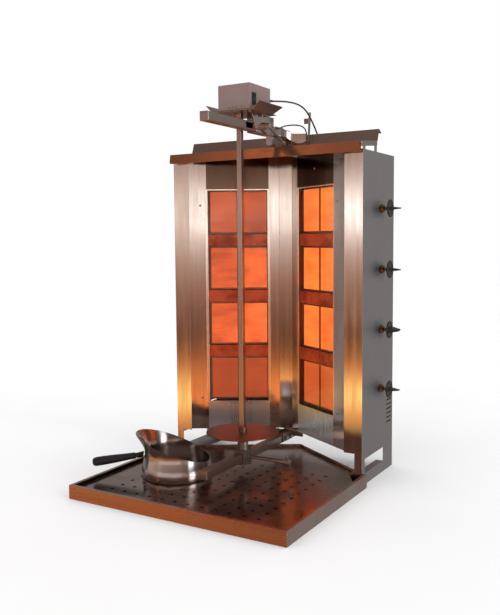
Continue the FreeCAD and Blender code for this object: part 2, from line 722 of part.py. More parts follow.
save("motor_saddle", saddle)

PLATE_HALF = BOX_HALF + PLATE_MARGIN
BOX_Y0 = SPIT_Y - BOX_AHEAD
BOX_Y1 = BOX_Y0 + BOX_LONG
BOX_Z0 = PLATE_Z + PLATE_T + SPACER_H
BOX_Z1 = BOX_Z0 + BOX_H
PLATE_Y0 = BOX_Y0 - 14
PLATE_Y1 = PLATE_Y0 + PLATE_LONG
SOCKET_R = 15.0
plate = box(-PLATE_HALF, PLATE_HALF, PLATE_Y0, PLATE_Y1, PLATE_Z, PLATE_Z + PLATE_T)
wing = prism_y(
    fold([(PLATE_HALF - 2, PLATE_Z), (PLATE_HALF, PLATE_Z), (PLATE_HALF + WING, PLATE_Z + WING)], -PLATE_T),
    PLATE_Y0 + 6,
    PLATE_Y1,
)
nip = prism_x(
    [(PLATE_Y1 - 22, PLATE_Z - 2), (PLATE_Y1 + 2, PLATE_Z - 2), (PLATE_Y1 + 2, PLATE_Z + 22)],
    PLATE_HALF,
    PLATE_HALF + WING + 8,
)
plate = join(plate, wing.cut(nip), mirror(wing.cut(nip)))
COVER_SCREWS = [(x, y) for x in (4 - BOX_HALF, BOX_HALF - 4) for y in (BOX_Y0 + 6, BOX_Y1 - 6)]
for x, y in COVER_SCREWS:
    plate = join(plate, bar("z", x, y, PLATE_Z + PLATE_T - 1, 8, SPACER_H + 1))
plate = plate.cut(rod("z", 0, SPIT_Y, PLATE_Z - 2, SOCKET_R + 2, 10))
save("motor_plate", plate)

# Cover with its switch opening, screw holes and cable hole
SWITCH_Y = BOX_Y0 + 23
SWITCH_Z = BOX_Z0 + 31
GLAND_X = 38.0
GLAND_Z = BOX_Z0 + 42
cover = box(-BOX_HALF, BOX_HALF, BOX_Y0, BOX_Y1, BOX_Z0, BOX_Z1)
cover = cover.cut(box(1.2 - BOX_HALF, BOX_HALF - 1.2, BOX_Y0 + 1.2, BOX_Y1 - 1.2, BOX_Z0 - 1, BOX_Z1 - 1.2))


def switch_box(x0, x1, wall):
    y, z = SWITCH_W / 2 + wall, SWITCH_H / 2 + wall
    return box(x0, x1, SWITCH_Y - y, SWITCH_Y + y, SWITCH_Z - z, SWITCH_Z + z)


cover = cover.cut(switch_box(BOX_HALF - 3, BOX_HALF + 1, SEAT_GAP))
for x in (-16, -4, 8, 26):
    cover = cover.cut(bar("y", x, BOX_Y0 - 1, BOX_Z0 + 8, 3.2, 4))
cover = cover.cut(bar("y", GLAND_X, BOX_Y1 - 3, GLAND_Z, 2 * CORD_D + 2 * SEAT_GAP, 6))
save("motor_cover", cover)

# Gearmotor standing on two feet, and the turning socket under it
GEAR_Z = PLATE_Z + PLATE_T + 11
gear = join(
    box(-30, 30, SPIT_Y - 29, SPIT_Y + 41, GEAR_Z, GEAR_Z + 28),
    bar("z", 0, SPIT_Y + 29, GEAR_Z + 28, 48, BOX_H - 42, 12),
    box(-26, -20, SPIT_Y - 25, SPIT_Y + 35, PLATE_Z + PLATE_T, GEAR_Z),
    box(20, 26, SPIT_Y - 25, SPIT_Y + 35, PLATE_Z + PLATE_T, GEAR_Z),
).cut(rod("z", 0, SPIT_Y, GEAR_Z - 2, SOCKET_R + 0.3, 24))
save("gearmotor", gear)
socket = rod("z", 0, SPIT_Y, PLATE_Z + 1, SOCKET_R, GEAR_Z + 18 - PLATE_Z)
bore = SPIT_SQ / 2 + LOOSE_FIT
socket = socket.cut(box(-bore, bore, SPIT_Y - bore, SPIT_Y + bore, PLATE_Z, GEAR_Z + 6))
save("drive_socket", socket)

# Rocker switch on its pivot in a frame that clips into the cover
pivot = rod("y", BOX_HALF - ROCKER_PIVOT, SWITCH_Y - SWITCH_W / 2 + 0.3, SWITCH_Z, 1.5, SWITCH_W - 0.6)
socket_hole = rod("y", BOX_HALF - ROCKER_PIVOT, SWITCH_Y - SWITCH_W, SWITCH_Z, 1.5 + TURN_FIT, 2 * SWITCH_W)
switch_frame = join(switch_box(BOX_HALF, BOX_HALF + SHEET, 3.5), switch_box(BOX_HALF - 14, BOX_HALF, 0))
switch_frame = switch_frame.cut(switch_box(BOX_HALF - 12, BOX_HALF + 3, -SWITCH_WALL)).cut(socket_hole)
save("switch_frame", switch_frame)
low_z, high_z = SWITCH_Z - ROCKER_H / 2, SWITCH_Z + ROCKER_H / 2
key_half = SWITCH_W / 2 - SWITCH_WALL - 0.5
rocker = prism_y(
    [
        (BOX_HALF - 8, low_z),
        (BOX_HALF + 1, low_z),
        (BOX_HALF + 1, SWITCH_Z),
        (BOX_HALF + 1 + ROCKER_RISE, high_z),
        (BOX_HALF - 8, high_z),
    ],
    SWITCH_Y - key_half,
    SWITCH_Y + key_half,
)
save("rocker_switch", join(rocker, pivot))

# Cable gland in the cover's rear wall
gland = join(
    bar("y", GLAND_X, BOX_Y1 - 1.2, GLAND_Z, 2 * CORD_D, 1.2),
    bar("y", GLAND_X, BOX_Y1, GLAND_Z, 15, 12),
).cut(bar("y", GLAND_X, BOX_Y1 - 2, GLAND_Z, CORD_D + 2 * SEAT_GAP, 20, 8))
save("cable_gland", gland)

# Clamp screw of the motor carriage with its lever
SCREW_X = OUT_X + LOOSE_FIT
HEAD_X = OUT_X + SADDLE_WALL + BOSS_LONG + LOOSE_FIT
lever_x = HEAD_X + 8
lever = join(
    bar("y", lever_x, CLAMP_Y, CLAMP_Z, 8, LEVER_LONG, 8),
    bar("y", lever_x, CLAMP_Y + LEVER_LONG - 8, CLAMP_Z, 12, 14, 8),
)
lever.rotate(V(lever_x, CLAMP_Y, CLAMP_Z), V(1, 0, 0), -LEVER_DROP)
clamp = join(
    rod("x", SCREW_X, CLAMP_Y, CLAMP_Z, CLAMP_R, HEAD_X - SCREW_X + 1),
    bar("x", HEAD_X, CLAMP_Y, CLAMP_Z, 16, 14, 8),
    lever,
)
save("upper_clamp_lever", clamp)

screws = [bar("z", x, y, PLATE_Z - 3, 8, 3) for x, y in COVER_SCREWS]
for x in (-34, ARM_MID + 26):
    screws.append(bar("z", x, SPIT_Y + 53, PLATE_Z - 3, 10, 3))
save("motor_screws", group(screws))

# Lower arm and its mount under the cabinet floor
LOW_HALF = LOW_W / 2
LOW_TOP = LOW_Z0 + LOW_W
save("lower_arm", square_tube(0, LOW_W, LOW_FRONT, LOW_BACK, LOW_Z0))
save("arm_caps", group([end_plug(ARM_MID, ARM_W, ARM_FRONT, ARM_Z0), end_plug(0, LOW_W, LOW_FRONT, LOW_Z0)]))
MOUNT_Y1 = BACK_Y - 3 * MOUNT_T + 3
MOUNT_Y0 = MOUNT_Y1 - MOUNT_LONG
ear = LOW_HALF + MOUNT_EAR
wide = ear + 17
low, high = LOW_Z0 + MOUNT_T, FLOOR_Z - MOUNT_T
mount = join(
    box(-ear, ear, POST_Y + POST_BACK + 2, MOUNT_Y1, high, FLOOR_Z),
    box(-LOW_HALF - MOUNT_T, -LOW_HALF, MOUNT_Y0, MOUNT_Y1, low, high),
    box(LOW_HALF, LOW_HALF + MOUNT_T, MOUNT_Y0, MOUNT_Y1, low, high),
    box(-wide, wide, LOW_BACK + SEAT_GAP, LOW_BACK + 2 * MOUNT_T, low + 7, low + 23),
)
save("lower_arm_mount", mount)
for y in (MOUNT_Y0 + 5 * MOUNT_T, MOUNT_Y0 + 12.5 * MOUNT_T):
    bolt = bar("x", LOW_HALF + MOUNT_T, y, LOW_Z0 + LOW_HALF, 13, 6)
    bolts += [bolt, mirror(bolt)]
save("arm_bolts", group(bolts))

# Lower carriage: block round the tube with the spit bearing and a clamp screw
LOW_CLAMP_Z = LOW_Z0 + 15
block_half = CARRIAGE_W / 2
BLOCK_Z0 = LOW_Z0 - 9
BLOCK_Z1 = LOW_TOP + 10
BEARING_Z = BLOCK_Z1 + 4
BEARING_H = 20.0
slot_half = LOW_HALF + SLIDE_FIT
y0, y1 = SPIT_Y - CARRIAGE_LONG / 2, SPIT_Y + CARRIAGE_LONG / 2
carriage = join(
    box(-block_half, block_half, y0, y1, BLOCK_Z0, BLOCK_Z1),
    bar("z", 0, SPIT_Y, BLOCK_Z1, 2 * BEARING_R + 7, BEARING_H + 4, 12),
    bar("x", block_half, SPIT_Y, LOW_CLAMP_Z, 18, 6, 8),
)
carriage = carriage.cut(box(-slot_half, slot_half, y0 - 1, y1 + 1, LOW_Z0 - SLIDE_FIT, LOW_TOP + SLIDE_FIT))
carriage = carriage.cut(rod("z", 0, SPIT_Y, BEARING_Z, BEARING_R, BEARING_H + 1))
carriage = carriage.cut(rod("x", LOW_HALF, SPIT_Y, LOW_CLAMP_Z, CLAMP_R + TURN_FIT, 20))
save("lower_carriage", carriage)
bearing = rod("z", 0, SPIT_Y, BEARING_Z, BEARING_R - SEAT_GAP, BEARING_H)
save("spit_bearing", bearing.cut(rod("z", 0, SPIT_Y, BEARING_Z - 1, PIVOT_R + TURN_FIT, BEARING_H + 2)))
turn_x = LOW_HALF + LOOSE_FIT + CLAMP_LONG - 5
tee = bar("z", turn_x, SPIT_Y, LOW_CLAMP_Z - 22, 8, 44, 8)
tee.rotate(V(turn_x, SPIT_Y, LOW_CLAMP_Z), V(1, 0, 0), LEVER_DROP)
low_clamp = join(
    rod("x", LOW_HALF + LOOSE_FIT, SPIT_Y, LOW_CLAMP_Z, CLAMP_R, CLAMP_LONG),
    bar("x", turn_x - 8, SPIT_Y, LOW_CLAMP_Z, 15, 16, 8),
    tee,
)
save("lower_clamp_screw", low_clamp)

# Spit: square bar, meat disc with its collar, and the hub with the pivot
HUB_Z0 = BEARING_Z + BEARING_H + LOOSE_FIT
SPIT_Z0 = HUB_Z0 + 8.6
half_sq = SPIT_SQ / 2
spit = box(-half_sq, half_sq, SPIT_Y - half_sq, SPIT_Y + half_sq, SPIT_Z0, PLATE_Z + SPIT_IN)
save("spit", spit)
disc = join(rod("z", 0, SPIT_Y, DISC_Z, DISC_R, DISC_T), rod("z", 0, SPIT_Y, DISC_Z + DISC_T, 12.5, 14))
loose = half_sq + SEAT_GAP
save("meat_disc", disc.cut(box(-loose, loose, SPIT_Y - loose, SPIT_Y + loose, DISC_Z - 5, DISC_Z + 30)))
hub = join(
    rod("z", 0, SPIT_Y, HUB_Z0, 13, DISC_Z - HUB_Z0),
    rod("z", 0, SPIT_Y, BEARING_Z + 2, PIVOT_R, HUB_Z0 - BEARING_Z),
)
save("spit_hub", hub.cut(spit))

# Drip tray: its back follows the V of the walls and it is notched round the front legs
TRAY_BACK = -LOOSE_FIT
NOTCH_X = LEG_X - 8
NOTCH_RIGHT_Y = 24.0
NOTCH_LEFT_Y = 4.5
TRAY = [
    (-TRAY_HALF, TRAY_FRONT),
    (TRAY_HALF, TRAY_FRONT),
    (TRAY_HALF, TRAY_BACK),
    (NOTCH_X, TRAY_BACK),
    (NOTCH_X, NOTCH_RIGHT_Y),
    (TRAY_APEX_X, TRAY_APEX_Y),
    (-NOTCH_X, NOTCH_LEFT_Y),
    (-NOTCH_X, TRAY_BACK),
    (-TRAY_HALF, TRAY_BACK),
]
plan_face = Part.Face(Part.makePolygon([V(x, y, TRAY_T) for x, y in TRAY + [TRAY[0]]]))
tray = prism_z(TRAY, 0, TRAY_H).cut(plan_face.makeOffset2D(-TRAY_T, 2).extrude(V(0, 0, TRAY_H)))
rim_z = TRAY_H - TRAY_T
tray = join(
    tray,
    box(-TRAY_HALF, TRAY_HALF, TRAY_FRONT, TRAY_FRONT + TRAY_RIM, rim_z, TRAY_H),
    box(-TRAY_HALF, TRAY_RIM - TRAY_HALF, TRAY_FRONT, TRAY_BACK, rim_z, TRAY_H),
    box(TRAY_HALF - TRAY_RIM, TRAY_HALF, TRAY_FRONT, TRAY_BACK, rim_z, TRAY_H),
)
save("drip_tray", tray)

# Perforated insert standing in the tray on its folded edges
INSERT_HALF = TRAY_HALF - TRAY_RIM - 2.7
INSERT_FRONT = TRAY_FRONT + TRAY_RIM + 2.7
INSERT_SIDE_Y = TRAY_BACK - 70
CORNER_X = NOTCH_X - 4
INSERT = [
    (-INSERT_HALF, INSERT_FRONT),
    (INSERT_HALF, INSERT_FRONT),
    (INSERT_HALF, INSERT_SIDE_Y),
    (CORNER_X, TRAY_BACK - 5),
    (CORNER_X, NOTCH_RIGHT_Y - 4),
    (TRAY_APEX_X, TRAY_APEX_Y - 3.5),
    (-CORNER_X, NOTCH_LEFT_Y - 2),
    (-CORNER_X, TRAY_BACK - 5),
    (-INSERT_HALF, INSERT_SIDE_Y),
]
low_z = TRAY_T + SLIDE_FIT
stay_y = TRAY_APEX_Y - 52
insert = join(
    prism_z(INSERT, INSERT_Z - TRAY_T, INSERT_Z),
    box(-INSERT_HALF, INSERT_HALF, INSERT_FRONT, INSERT_FRONT + TRAY_T, low_z, INSERT_Z),
    box(-INSERT_HALF, TRAY_T - INSERT_HALF, INSERT_FRONT, INSERT_SIDE_Y, low_z, INSERT_Z),
    box(INSERT_HALF - TRAY_T, INSERT_HALF, INSERT_FRONT, INSERT_SIDE_Y, low_z, INSERT_Z),
    box(TRAY_APEX_X - 48, TRAY_APEX_X + 32, stay_y, stay_y + TRAY_T, low_z, INSERT_Z),
)
holes = []
for row in range(HOLE_ROWS):
    for column in range(HOLE_COLUMNS):
        x = (column - (HOLE_COLUMNS - 1) / 2) * HOLE_PITCH
        y = INSERT_FRONT + 46.3 + row * HOLE_PITCH
        holes.append(bar("z", x, y, INSERT_Z - 3, 2 * HOLE_R, 5))
insert = insert.cut(group(holes))
save("tray_insert", insert)

# Catch pan: spun bowl with a flared mouth, cut at a slant
PAN_Z = INSERT_Z + SLIDE_FIT
profile = [(PAN_R, PAN_Z), (PAN_R + 2, PAN_Z + 30), (PAN_NECK_R, PAN_NECK_Z), (PAN_MOUTH_R, PAN_MOUTH_Z)]


def spun(points):
    ring = [V(0, 0, points[0][1])] + [V(r, 0, z) for r, z in points] + [V(0, 0, points[-1][1])]
    return Part.Face(Part.makePolygon(ring + [ring[0]])).revolve(V(0, 0, 0), V(0, 0, 1), 360)


bowl = spun(profile)
pan = bowl.cut(spun([(r - PAN_T, max(z, PAN_Z + PAN_T)) for r, z in profile]))
rise = 200 * math.tan(math.radians(PAN_TILT))
above = [(-200, PAN_CUT_Z + rise), (200, PAN_CUT_Z - rise), (200, PAN_CUT_Z + 300), (-200, PAN_CUT_Z + 300)]
pan = pan.cut(prism_y(above, -200, 200))
pan.translate(V(PAN_X, PAN_Y, 0))
save("pan_body", pan)

GRIP_ROOT = PAN_NECK_R + 5


def pan_out(shape):
    placed = shape.copy()
    placed.rotate(V(GRIP_ROOT, 0, GRIP_Z), V(0, 1, 0), GRIP_DROP)
    placed.rotate(V(0, 0, 0), V(0, 0, 1), GRIP_TURN)
    placed.translate(V(PAN_X, PAN_Y, 0))
    return placed


def tapered(sections):
    """A twelve-sided taper along X through sections given as (x, half width)."""
    rings = []
    for x, r in sections:
        ring = [V(x, r * math.cos(math.pi * k / 6), r * math.sin(math.pi * k / 6)) for k in range(13)]
        rings.append(Part.makePolygon(ring))
    return Part.makeLoft(rings, True, True)


ferrule = join(tapered([(-6, 10), (22, 7)]), bar("x", 20, 0, 0, 10, 30, 8))
ferrule.translate(V(GRIP_ROOT, 0, GRIP_Z))
save("pan_ferrule", pan_out(ferrule).cut(bowl.translated(V(PAN_X, PAN_Y, 0))))
handle = tapered([(0, 9.5), (60, 12.5), (118, 14), (130, 10)])
handle = handle.cut(bar("x", -10, 0, 0, 10 + 2 * SEAT_GAP, 38.2, 8))
handle.translate(V(GRIP_ROOT + 22 + SEAT_GAP, 0, GRIP_Z))
save("pan_handle", pan_out(handle))


# Motor cable from the gland over the support and down behind the hood
def rounded(points, tag):
    edges = []
    last = points[0]
    radii = []
    for before, corner, after in zip(points, points[1:], points[2:]):
        u, w = (before - corner), (after - corner)
        shorter = min(u.Length, w.Length)
        u.normalize()
        w.normalize()
        half_turn = (math.pi - u.getAngle(w)) / 2
        cut = 0.45 * shorter
        radius = cut / math.tan(half_turn)
        radii.append(round(radius, 1))
        start, end = corner + u * cut, corner + w * cut
        centre = corner + (u + w).normalize() * (radius / math.cos(half_turn))
        middle = centre + (corner - centre).normalize() * radius
        edges.append(Part.makeLine(last, start))
        edges.append(Part.Arc(start, middle, end).toShape())
        last = end
    edges.append(Part.makeLine(last, points[-1]))
    print(tag, "bend radii", radii)
    return Part.Wire(edges)


def cord(points, d, tag):
    """A flat-sided tube along the rounded route."""
    path = rounded(points, tag)
    way = (points[1] - points[0]).normalize()
    across = way.cross(V(0, 0, 1)).normalize()
    upward = across.cross(way)
    ring = []
    for k in range(CORD_SIDES + 1):
        a = 2 * math.pi * k / CORD_SIDES
        ring.append(points[0] + across * (d / 2 * math.cos(a)) + upward * (d / 2 * math.sin(a)))
    tube = path.makePipeShell([Part.makePolygon(ring)], True, False)
    area = CORD_SIDES * d * d / 8 * math.sin(2 * math.pi / CORD_SIDES)
    print(tag, "volume share", round(tube.Volume / (path.Length * area), 4))
    return tube


MOTOR_ROUTE = [
    V(GLAND_X, BOX_Y1 + 12, GLAND_Z),
    V(43, 4, 1149),
    V(66, 36, 1151),
    V(88, 66, 1147),
    V(103, 92, 1134),
    V(112, 112, 1108),
    V(118, 130, 1080),
    V(124, 145, 1052),
    V(CORD_X, CORD_Y, 1020),
    V(CORD_X, CORD_Y, TOP_Z),
]
LEAD_X = SUPPORT_X - 2
LEAD_Y = 103.0
LEAD_Z = deck_z(LEAD_Y) + SLIDE_FIT
LEAD_ROUTE = [
    V(OUT_X + 5, SADDLE_Y1, CLAMP_Z),
    V(OUT_X + 5, 19, CLAMP_Z),
    V(46, 36, 1073),
    V(52, 52, 1080),
    V(64, 64, 1083),
    V(79, 75, 1084),
    V(92, 86, 1082),
    V(101, 95, 1075),
    V(LEAD_X, 101, 1061),
    V(LEAD_X, LEAD_Y, 1042),
    V(LEAD_X, LEAD_Y, LEAD_Z),
]
cords = [cord(MOTOR_ROUTE, CORD_D, "motor cable"), cord(LEAD_ROUTE, LEAD_D, "thin lead")]
save("motor_cable", group(cords))


# Grommet on the top plate where the motor cable goes in
def grommet(x, y, z, d):
    return bar("z", x, y, z, 14, 4, 8).cut(bar("z", x, y, z - 1, d + 2 * SEAT_GAP, 6, 8))


save("cable_grommet", grommet(CORD_X, CORD_Y, TOP_Z, CORD_D))
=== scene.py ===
import json
import math

import bmesh
import bpy
from mathutils import Matrix, Vector


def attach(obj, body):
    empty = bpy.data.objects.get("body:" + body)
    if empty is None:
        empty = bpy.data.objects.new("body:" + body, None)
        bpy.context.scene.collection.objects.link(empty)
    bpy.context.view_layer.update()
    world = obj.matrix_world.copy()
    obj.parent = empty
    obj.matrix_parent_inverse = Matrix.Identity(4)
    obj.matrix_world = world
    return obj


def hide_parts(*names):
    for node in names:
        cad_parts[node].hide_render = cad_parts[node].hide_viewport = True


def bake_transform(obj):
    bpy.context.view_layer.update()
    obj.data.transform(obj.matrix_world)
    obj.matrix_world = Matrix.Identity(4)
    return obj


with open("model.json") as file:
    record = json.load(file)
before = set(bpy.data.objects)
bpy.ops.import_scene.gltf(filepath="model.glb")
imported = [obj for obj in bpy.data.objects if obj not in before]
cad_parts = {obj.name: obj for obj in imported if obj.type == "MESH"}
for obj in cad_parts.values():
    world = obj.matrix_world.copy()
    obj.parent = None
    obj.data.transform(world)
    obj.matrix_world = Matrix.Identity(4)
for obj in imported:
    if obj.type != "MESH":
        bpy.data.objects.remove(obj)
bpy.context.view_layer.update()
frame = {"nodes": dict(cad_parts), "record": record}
scene = bpy.context.scene
MM = 0.001

# Camera at the photo's place, with its turn, pitch and roll in degrees
CAMERA_PLACE = (1.1822, -2.0438, 0.7379)
CAMERA_ANGLES = (30.34, 4.81, -0.42)


def make_camera():
    data = bpy.data.cameras.new("camera")
    data.sensor_fit = "VERTICAL"
    data.sensor_height = 24.0
    data.lens = 29.60
    data.shift_x = -0.0140
    data.shift_y = -0.0101
    data.clip_end = 50.0
    cam = bpy.data.objects.new("camera", data)
    azimuth, pitch, roll = (math.radians(angle) for angle in CAMERA_ANGLES)
    ahead = Vector((
        -math.sin(azimuth) * math.cos(pitch),
        math.cos(azimuth) * math.cos(pitch),
        -math.sin(pitch),
    ))
    level = Vector((math.cos(azimuth), math.sin(azimuth), 0.0))
    rise = level.cross(ahead)
    right = level * math.cos(roll) + rise * math.sin(roll)
    up = rise * math.cos(roll) - level * math.sin(roll)
    turn = Matrix((right, up, -ahead)).transposed()
    cam.matrix_world = Matrix.Translation(CAMERA_PLACE) @ turn.to_4x4()
    scene.collection.objects.link(cam)
    scene.camera = cam


make_camera()
scene.view_settings.view_transform = "Standard"


# Objects and meshes
def add_object(name, data):
    obj = bpy.data.objects.new(name, data)
    scene.collection.objects.link(obj)
    return obj


def baked(obj):
    """A plain mesh of the object as its curve or modifiers shape it now."""
    bpy.context.view_layer.update()
    return bpy.data.meshes.new_from_object(
        obj.evaluated_get(bpy.context.evaluated_depsgraph_get()))


def round_angles(count):
    return [2 * math.pi * k / count for k in range(count)]


def finish_mesh(mesh, smooth=True, sharp=35.0):
    """Smooth shading, with edges left sharp where faces meet at more than an angle."""
    for poly in mesh.polygons:
        poly.use_smooth = smooth
    if smooth:
        mesh.set_sharp_from_angle(angle=math.radians(sharp))


def make_mesh(name, verts, faces, smooth=True, sharp=35.0):
    """A mesh from places in millimetres, with its faces turned outwards."""
    mesh = bpy.data.meshes.new(name)
    mesh.from_pydata([tuple(c * MM for c in v) for v in verts], [], faces)
    work = bmesh.new()
    work.from_mesh(mesh)
    bmesh.ops.remove_doubles(work, verts=work.verts, dist=1e-6)
    bmesh.ops.recalc_face_normals(work, faces=work.faces)
    work.to_mesh(mesh)
    work.free()
    finish_mesh(mesh, smooth, sharp)
    return mesh


def rings_to_faces(rings, count):
    """Quads between rings of equal count, with the first and last ring capped."""
    faces = []
    for r in range(rings - 1):
        for k in range(count):
            a, b = r * count + k, r * count + (k + 1) % count
            faces.append((a, b, b + count, a + count))
    faces.append(tuple(reversed(range(count))))
    faces.append(tuple(range((rings - 1) * count, rings * count)))
    return faces


def merge_shapes(shapes):
    verts, faces = [], []
    for v, f in shapes:
        start = len(verts)
        verts += v
        faces += [tuple(i + start for i in face) for face in f]
    return verts, faces


# Motor cable and thin lead: smooth lines through their routes
MOTOR_ROUTE = [
    (38, -26, 1146), (43, 4, 1149), (66, 36, 1151), (88, 66, 1147), (103, 92, 1134),
    (112, 112, 1108), (118, 130, 1080), (124, 145, 1052), (128, 150, 1020), (128, 150, 989),
]
LEAD_ROUTE = [
    (43.8, 4, 1067), (43.8, 19, 1067), (46, 36, 1073), (52, 52, 1080), (64, 64, 1083),
    (79, 75, 1084), (92, 86, 1082), (101, 95, 1075), (104, 101, 1061), (104, 103, 1042),
    (104, 103, 1022),
]


def smooth_line(name, route, width):
    """A round line through a route in millimetres, and its middle as a plain list of points."""
    curve = bpy.data.curves.new(name, "CURVE")
    curve.dimensions = "3D"
    curve.resolution_u = 10
    line = curve.splines.new("NURBS")
    line.points.add(len(route) - 1)
    for point, place in zip(line.points, route):
        point.co = (place[0] * MM, place[1] * MM, place[2] * MM, 1.0)
    line.order_u = 3
    line.use_endpoint_u = True
    obj = add_object(name, curve)
    bare = baked(obj)
    path = [tuple(v.co) for v in bare.vertices]
    bpy.data.meshes.remove(bare)
    curve.bevel_depth = width / 2
    curve.bevel_resolution = 4
    curve.use_fill_caps = True
    mesh = baked(obj)
    bpy.data.objects.remove(obj)
    for poly in mesh.polygons:
        poly.use_smooth = True
    return add_object(name, mesh), path


# Node trees
class Tree:
    """A node tree with short ways to add nodes; each gives back a socket that feeds the next."""

    def __init__(self, tree):
        self.nodes = tree.nodes
        self.links = tree.links

    def add(self, kind, **values):
        node = self.nodes.new(kind)
        for name, value in values.items():
            setattr(node, name, value)
        return node

    def put(self, socket, value):
        if isinstance(value, bpy.types.NodeSocket):
            self.links.new(value, socket)
        else:
            socket.default_value = value

    def feed(self, kind, inputs, **values):
        """A node with its named inputs filled in."""
        node = self.add(kind, **values)
        for name, value in inputs.items():
            self.put(node.inputs[name], value)
        return node

    def math(self, operation, a, b=0.5, clamp=False):
        node = self.add("ShaderNodeMath", operation=operation, use_clamp=clamp)
        self.put(node.inputs[0], a)
        self.put(node.inputs[1], b)
        return node.outputs[0]

    def coords(self):
        return self.add("ShaderNodeTexCoord").outputs["Object"]

    def times(self, vector, scale):
        node = self.add("ShaderNodeVectorMath", operation="MULTIPLY")
        self.put(node.inputs[0], vector)
        self.put(node.inputs[1], scale)
        return node.outputs[0]

    def split(self, vector):
        node = self.add("ShaderNodeSeparateXYZ")
        self.put(node.inputs[0], vector)
        return node.outputs

    def noise(self, vector, scale, detail=4.0, rough=0.6):
        inputs = {"Vector": vector, "Scale": scale, "Detail": detail, "Roughness": rough}
        return self.feed("ShaderNodeTexNoise", inputs).outputs["Fac"]

    def remap(self, value, a, b, low, high, smooth=False):
        inputs = {"Value": value, "From Min": a, "From Max": b, "To Min": low, "To Max": high}
        way = "SMOOTHSTEP" if smooth else "LINEAR"
        return self.feed("ShaderNodeMapRange", inputs, interpolation_type=way).outputs[0]

    def mix(self, fac, a, b, blend="MIX"):
        node = self.add("ShaderNodeMix", data_type="RGBA", blend_type=blend)
        self.put(node.inputs[0], fac)
        self.put(node.inputs[6], a)
        self.put(node.inputs[7], b)
        return node.outputs[2]

    def bump(self, height, strength, distance):
        inputs = {"Height": height, "Strength": strength, "Distance": distance}
        return self.feed("ShaderNodeBump", inputs).outputs[0]

    def group(self, tree, inputs):
        node = self.add("ShaderNodeGroup")
        node.node_tree = tree
        for name, value in inputs.items():
            self.put(node.inputs[name], value)
        return node.outputs


def new_group(name, kind, inputs, outputs):
    """An empty node group with named sockets, and its inner tree, inputs and outputs."""
    group = bpy.data.node_groups.new(name, kind)
    for label, socket, default in inputs:
        made = group.interface.new_socket(
            label, in_out="INPUT", socket_type="NodeSocket" + socket)
        if default is not None:
            made.default_value = default
    for label, socket in outputs:
        group.interface.new_socket(label, in_out="OUTPUT", socket_type="NodeSocket" + socket)
    tree = Tree(group)
    given = tree.add("NodeGroupInput").outputs
    return group, tree, given, tree.add("NodeGroupOutput").inputs


# Ways in which the grinding lines run
UP = (1.0, 1.0, 0.03)
ACROSS = (0.03, 1.0, 1.0)
DEEP = (1.0, 0.03, 1.0)
ROUND = (1.0, 1.0, 30.0)
EVEN = (1.0, 1.0, 1.0)


# Surface effects that several finishes share
def brushed_grain_group():
    """Grinding lines along one way: broad streaks and fine hairlines."""
    group, t, given, out = new_group(
        "brushed_grain", "ShaderNodeTree",
        [("Place", "Vector", None), ("Stretch", "Vector", UP), ("Fineness", "Float", 60.0)],
        [("Streak", "Float"), ("Hairline", "Float")])
    lain = t.times(given["Place"], given["Stretch"])
    t.put(out["Streak"], t.noise(lain, given["Fineness"], 3.0, 0.7))
    fine = t.math("MULTIPLY", given["Fineness"], 8.0)
    t.put(out["Hairline"], t.noise(lain, fine, 2.0, 0.6))
    return group


def handling_group():
    """Wiped smears in soft clouds, and small grease spots."""
    group, t, given, out = new_group(
        "handling_marks", "ShaderNodeTree",
        [("Place", "Vector", None), ("Size", "Float", 5.0)],
        [("Smear", "Float"), ("Spots", "Float")])
    cloud = t.noise(given["Place"], given["Size"], 4.0, 0.6)
    speck = t.noise(given["Place"], t.math("MULTIPLY", given["Size"], 9.0), 5.0, 0.72)
    t.put(out["Smear"], t.remap(cloud, 0.38, 0.72, 0.0, 1.0, True))
    t.put(out["Spots"], t.remap(speck, 0.58, 0.74, 0.0, 1.0, True))
    return group


def waviness_group():
    """Slow waves of thin sheet that is not quite flat."""
    group, t, given, out = new_group(
        "sheet_waviness", "ShaderNodeTree",
        [("Place", "Vector", None), ("Size", "Float", 3.0)], [("Height", "Float")])
    t.put(out["Height"], t.noise(given["Place"], given["Size"], 1.0, 0.4))
    return group


GRAIN = brushed_grain_group()
HANDLING = handling_group()
WAVES = waviness_group()

STAINLESS = (0.64, 0.57, 0.525, 1.0)
# Darker brown for the wall above the window, and a painted pale reflection for the wall under it
ABOVE_WINDOW_BROWN = (0.125, 0.076, 0.056, 1.0)
PAINTED_PALE_REFLECTION = (0.80, 0.90, 0.97, 1.0)

# Places on the sheets in metres: the end of the flange, and the edges of the window's panel
FLANGE_END = (0.0020, 0.0035)
PANEL_MIDDLE_X = 0.1405
PANEL_SIDE = (0.0870, 0.0885)
PANEL_ABOVE = (0.880, 0.890)
PANEL_UNDER = (0.190, 0.200)


def new_material(name):
    mat = bpy.data.materials.new(name)
    mat.use_nodes = True
    return mat, Tree(mat.node_tree), mat.node_tree.nodes["Principled BSDF"]


def shade(colour, share):
    return tuple(min(1.0, c * share) for c in colour[:3]) + (1.0,)


def front_flange(t, place):
    """Where a side sheet is turned in to the front, it is smoother than the side, and its warmer
    colour there is a painted reflection of the warm room.
    """
    front = t.remap(t.split(place)["Y"], *FLANGE_END, 1.0, 0.0)
    # The warmer stainless colour on the front is a painted reflection; the lower roughness there
    # is real.
    return front, STAINLESS, t.math("MULTIPLY", front, -0.30)


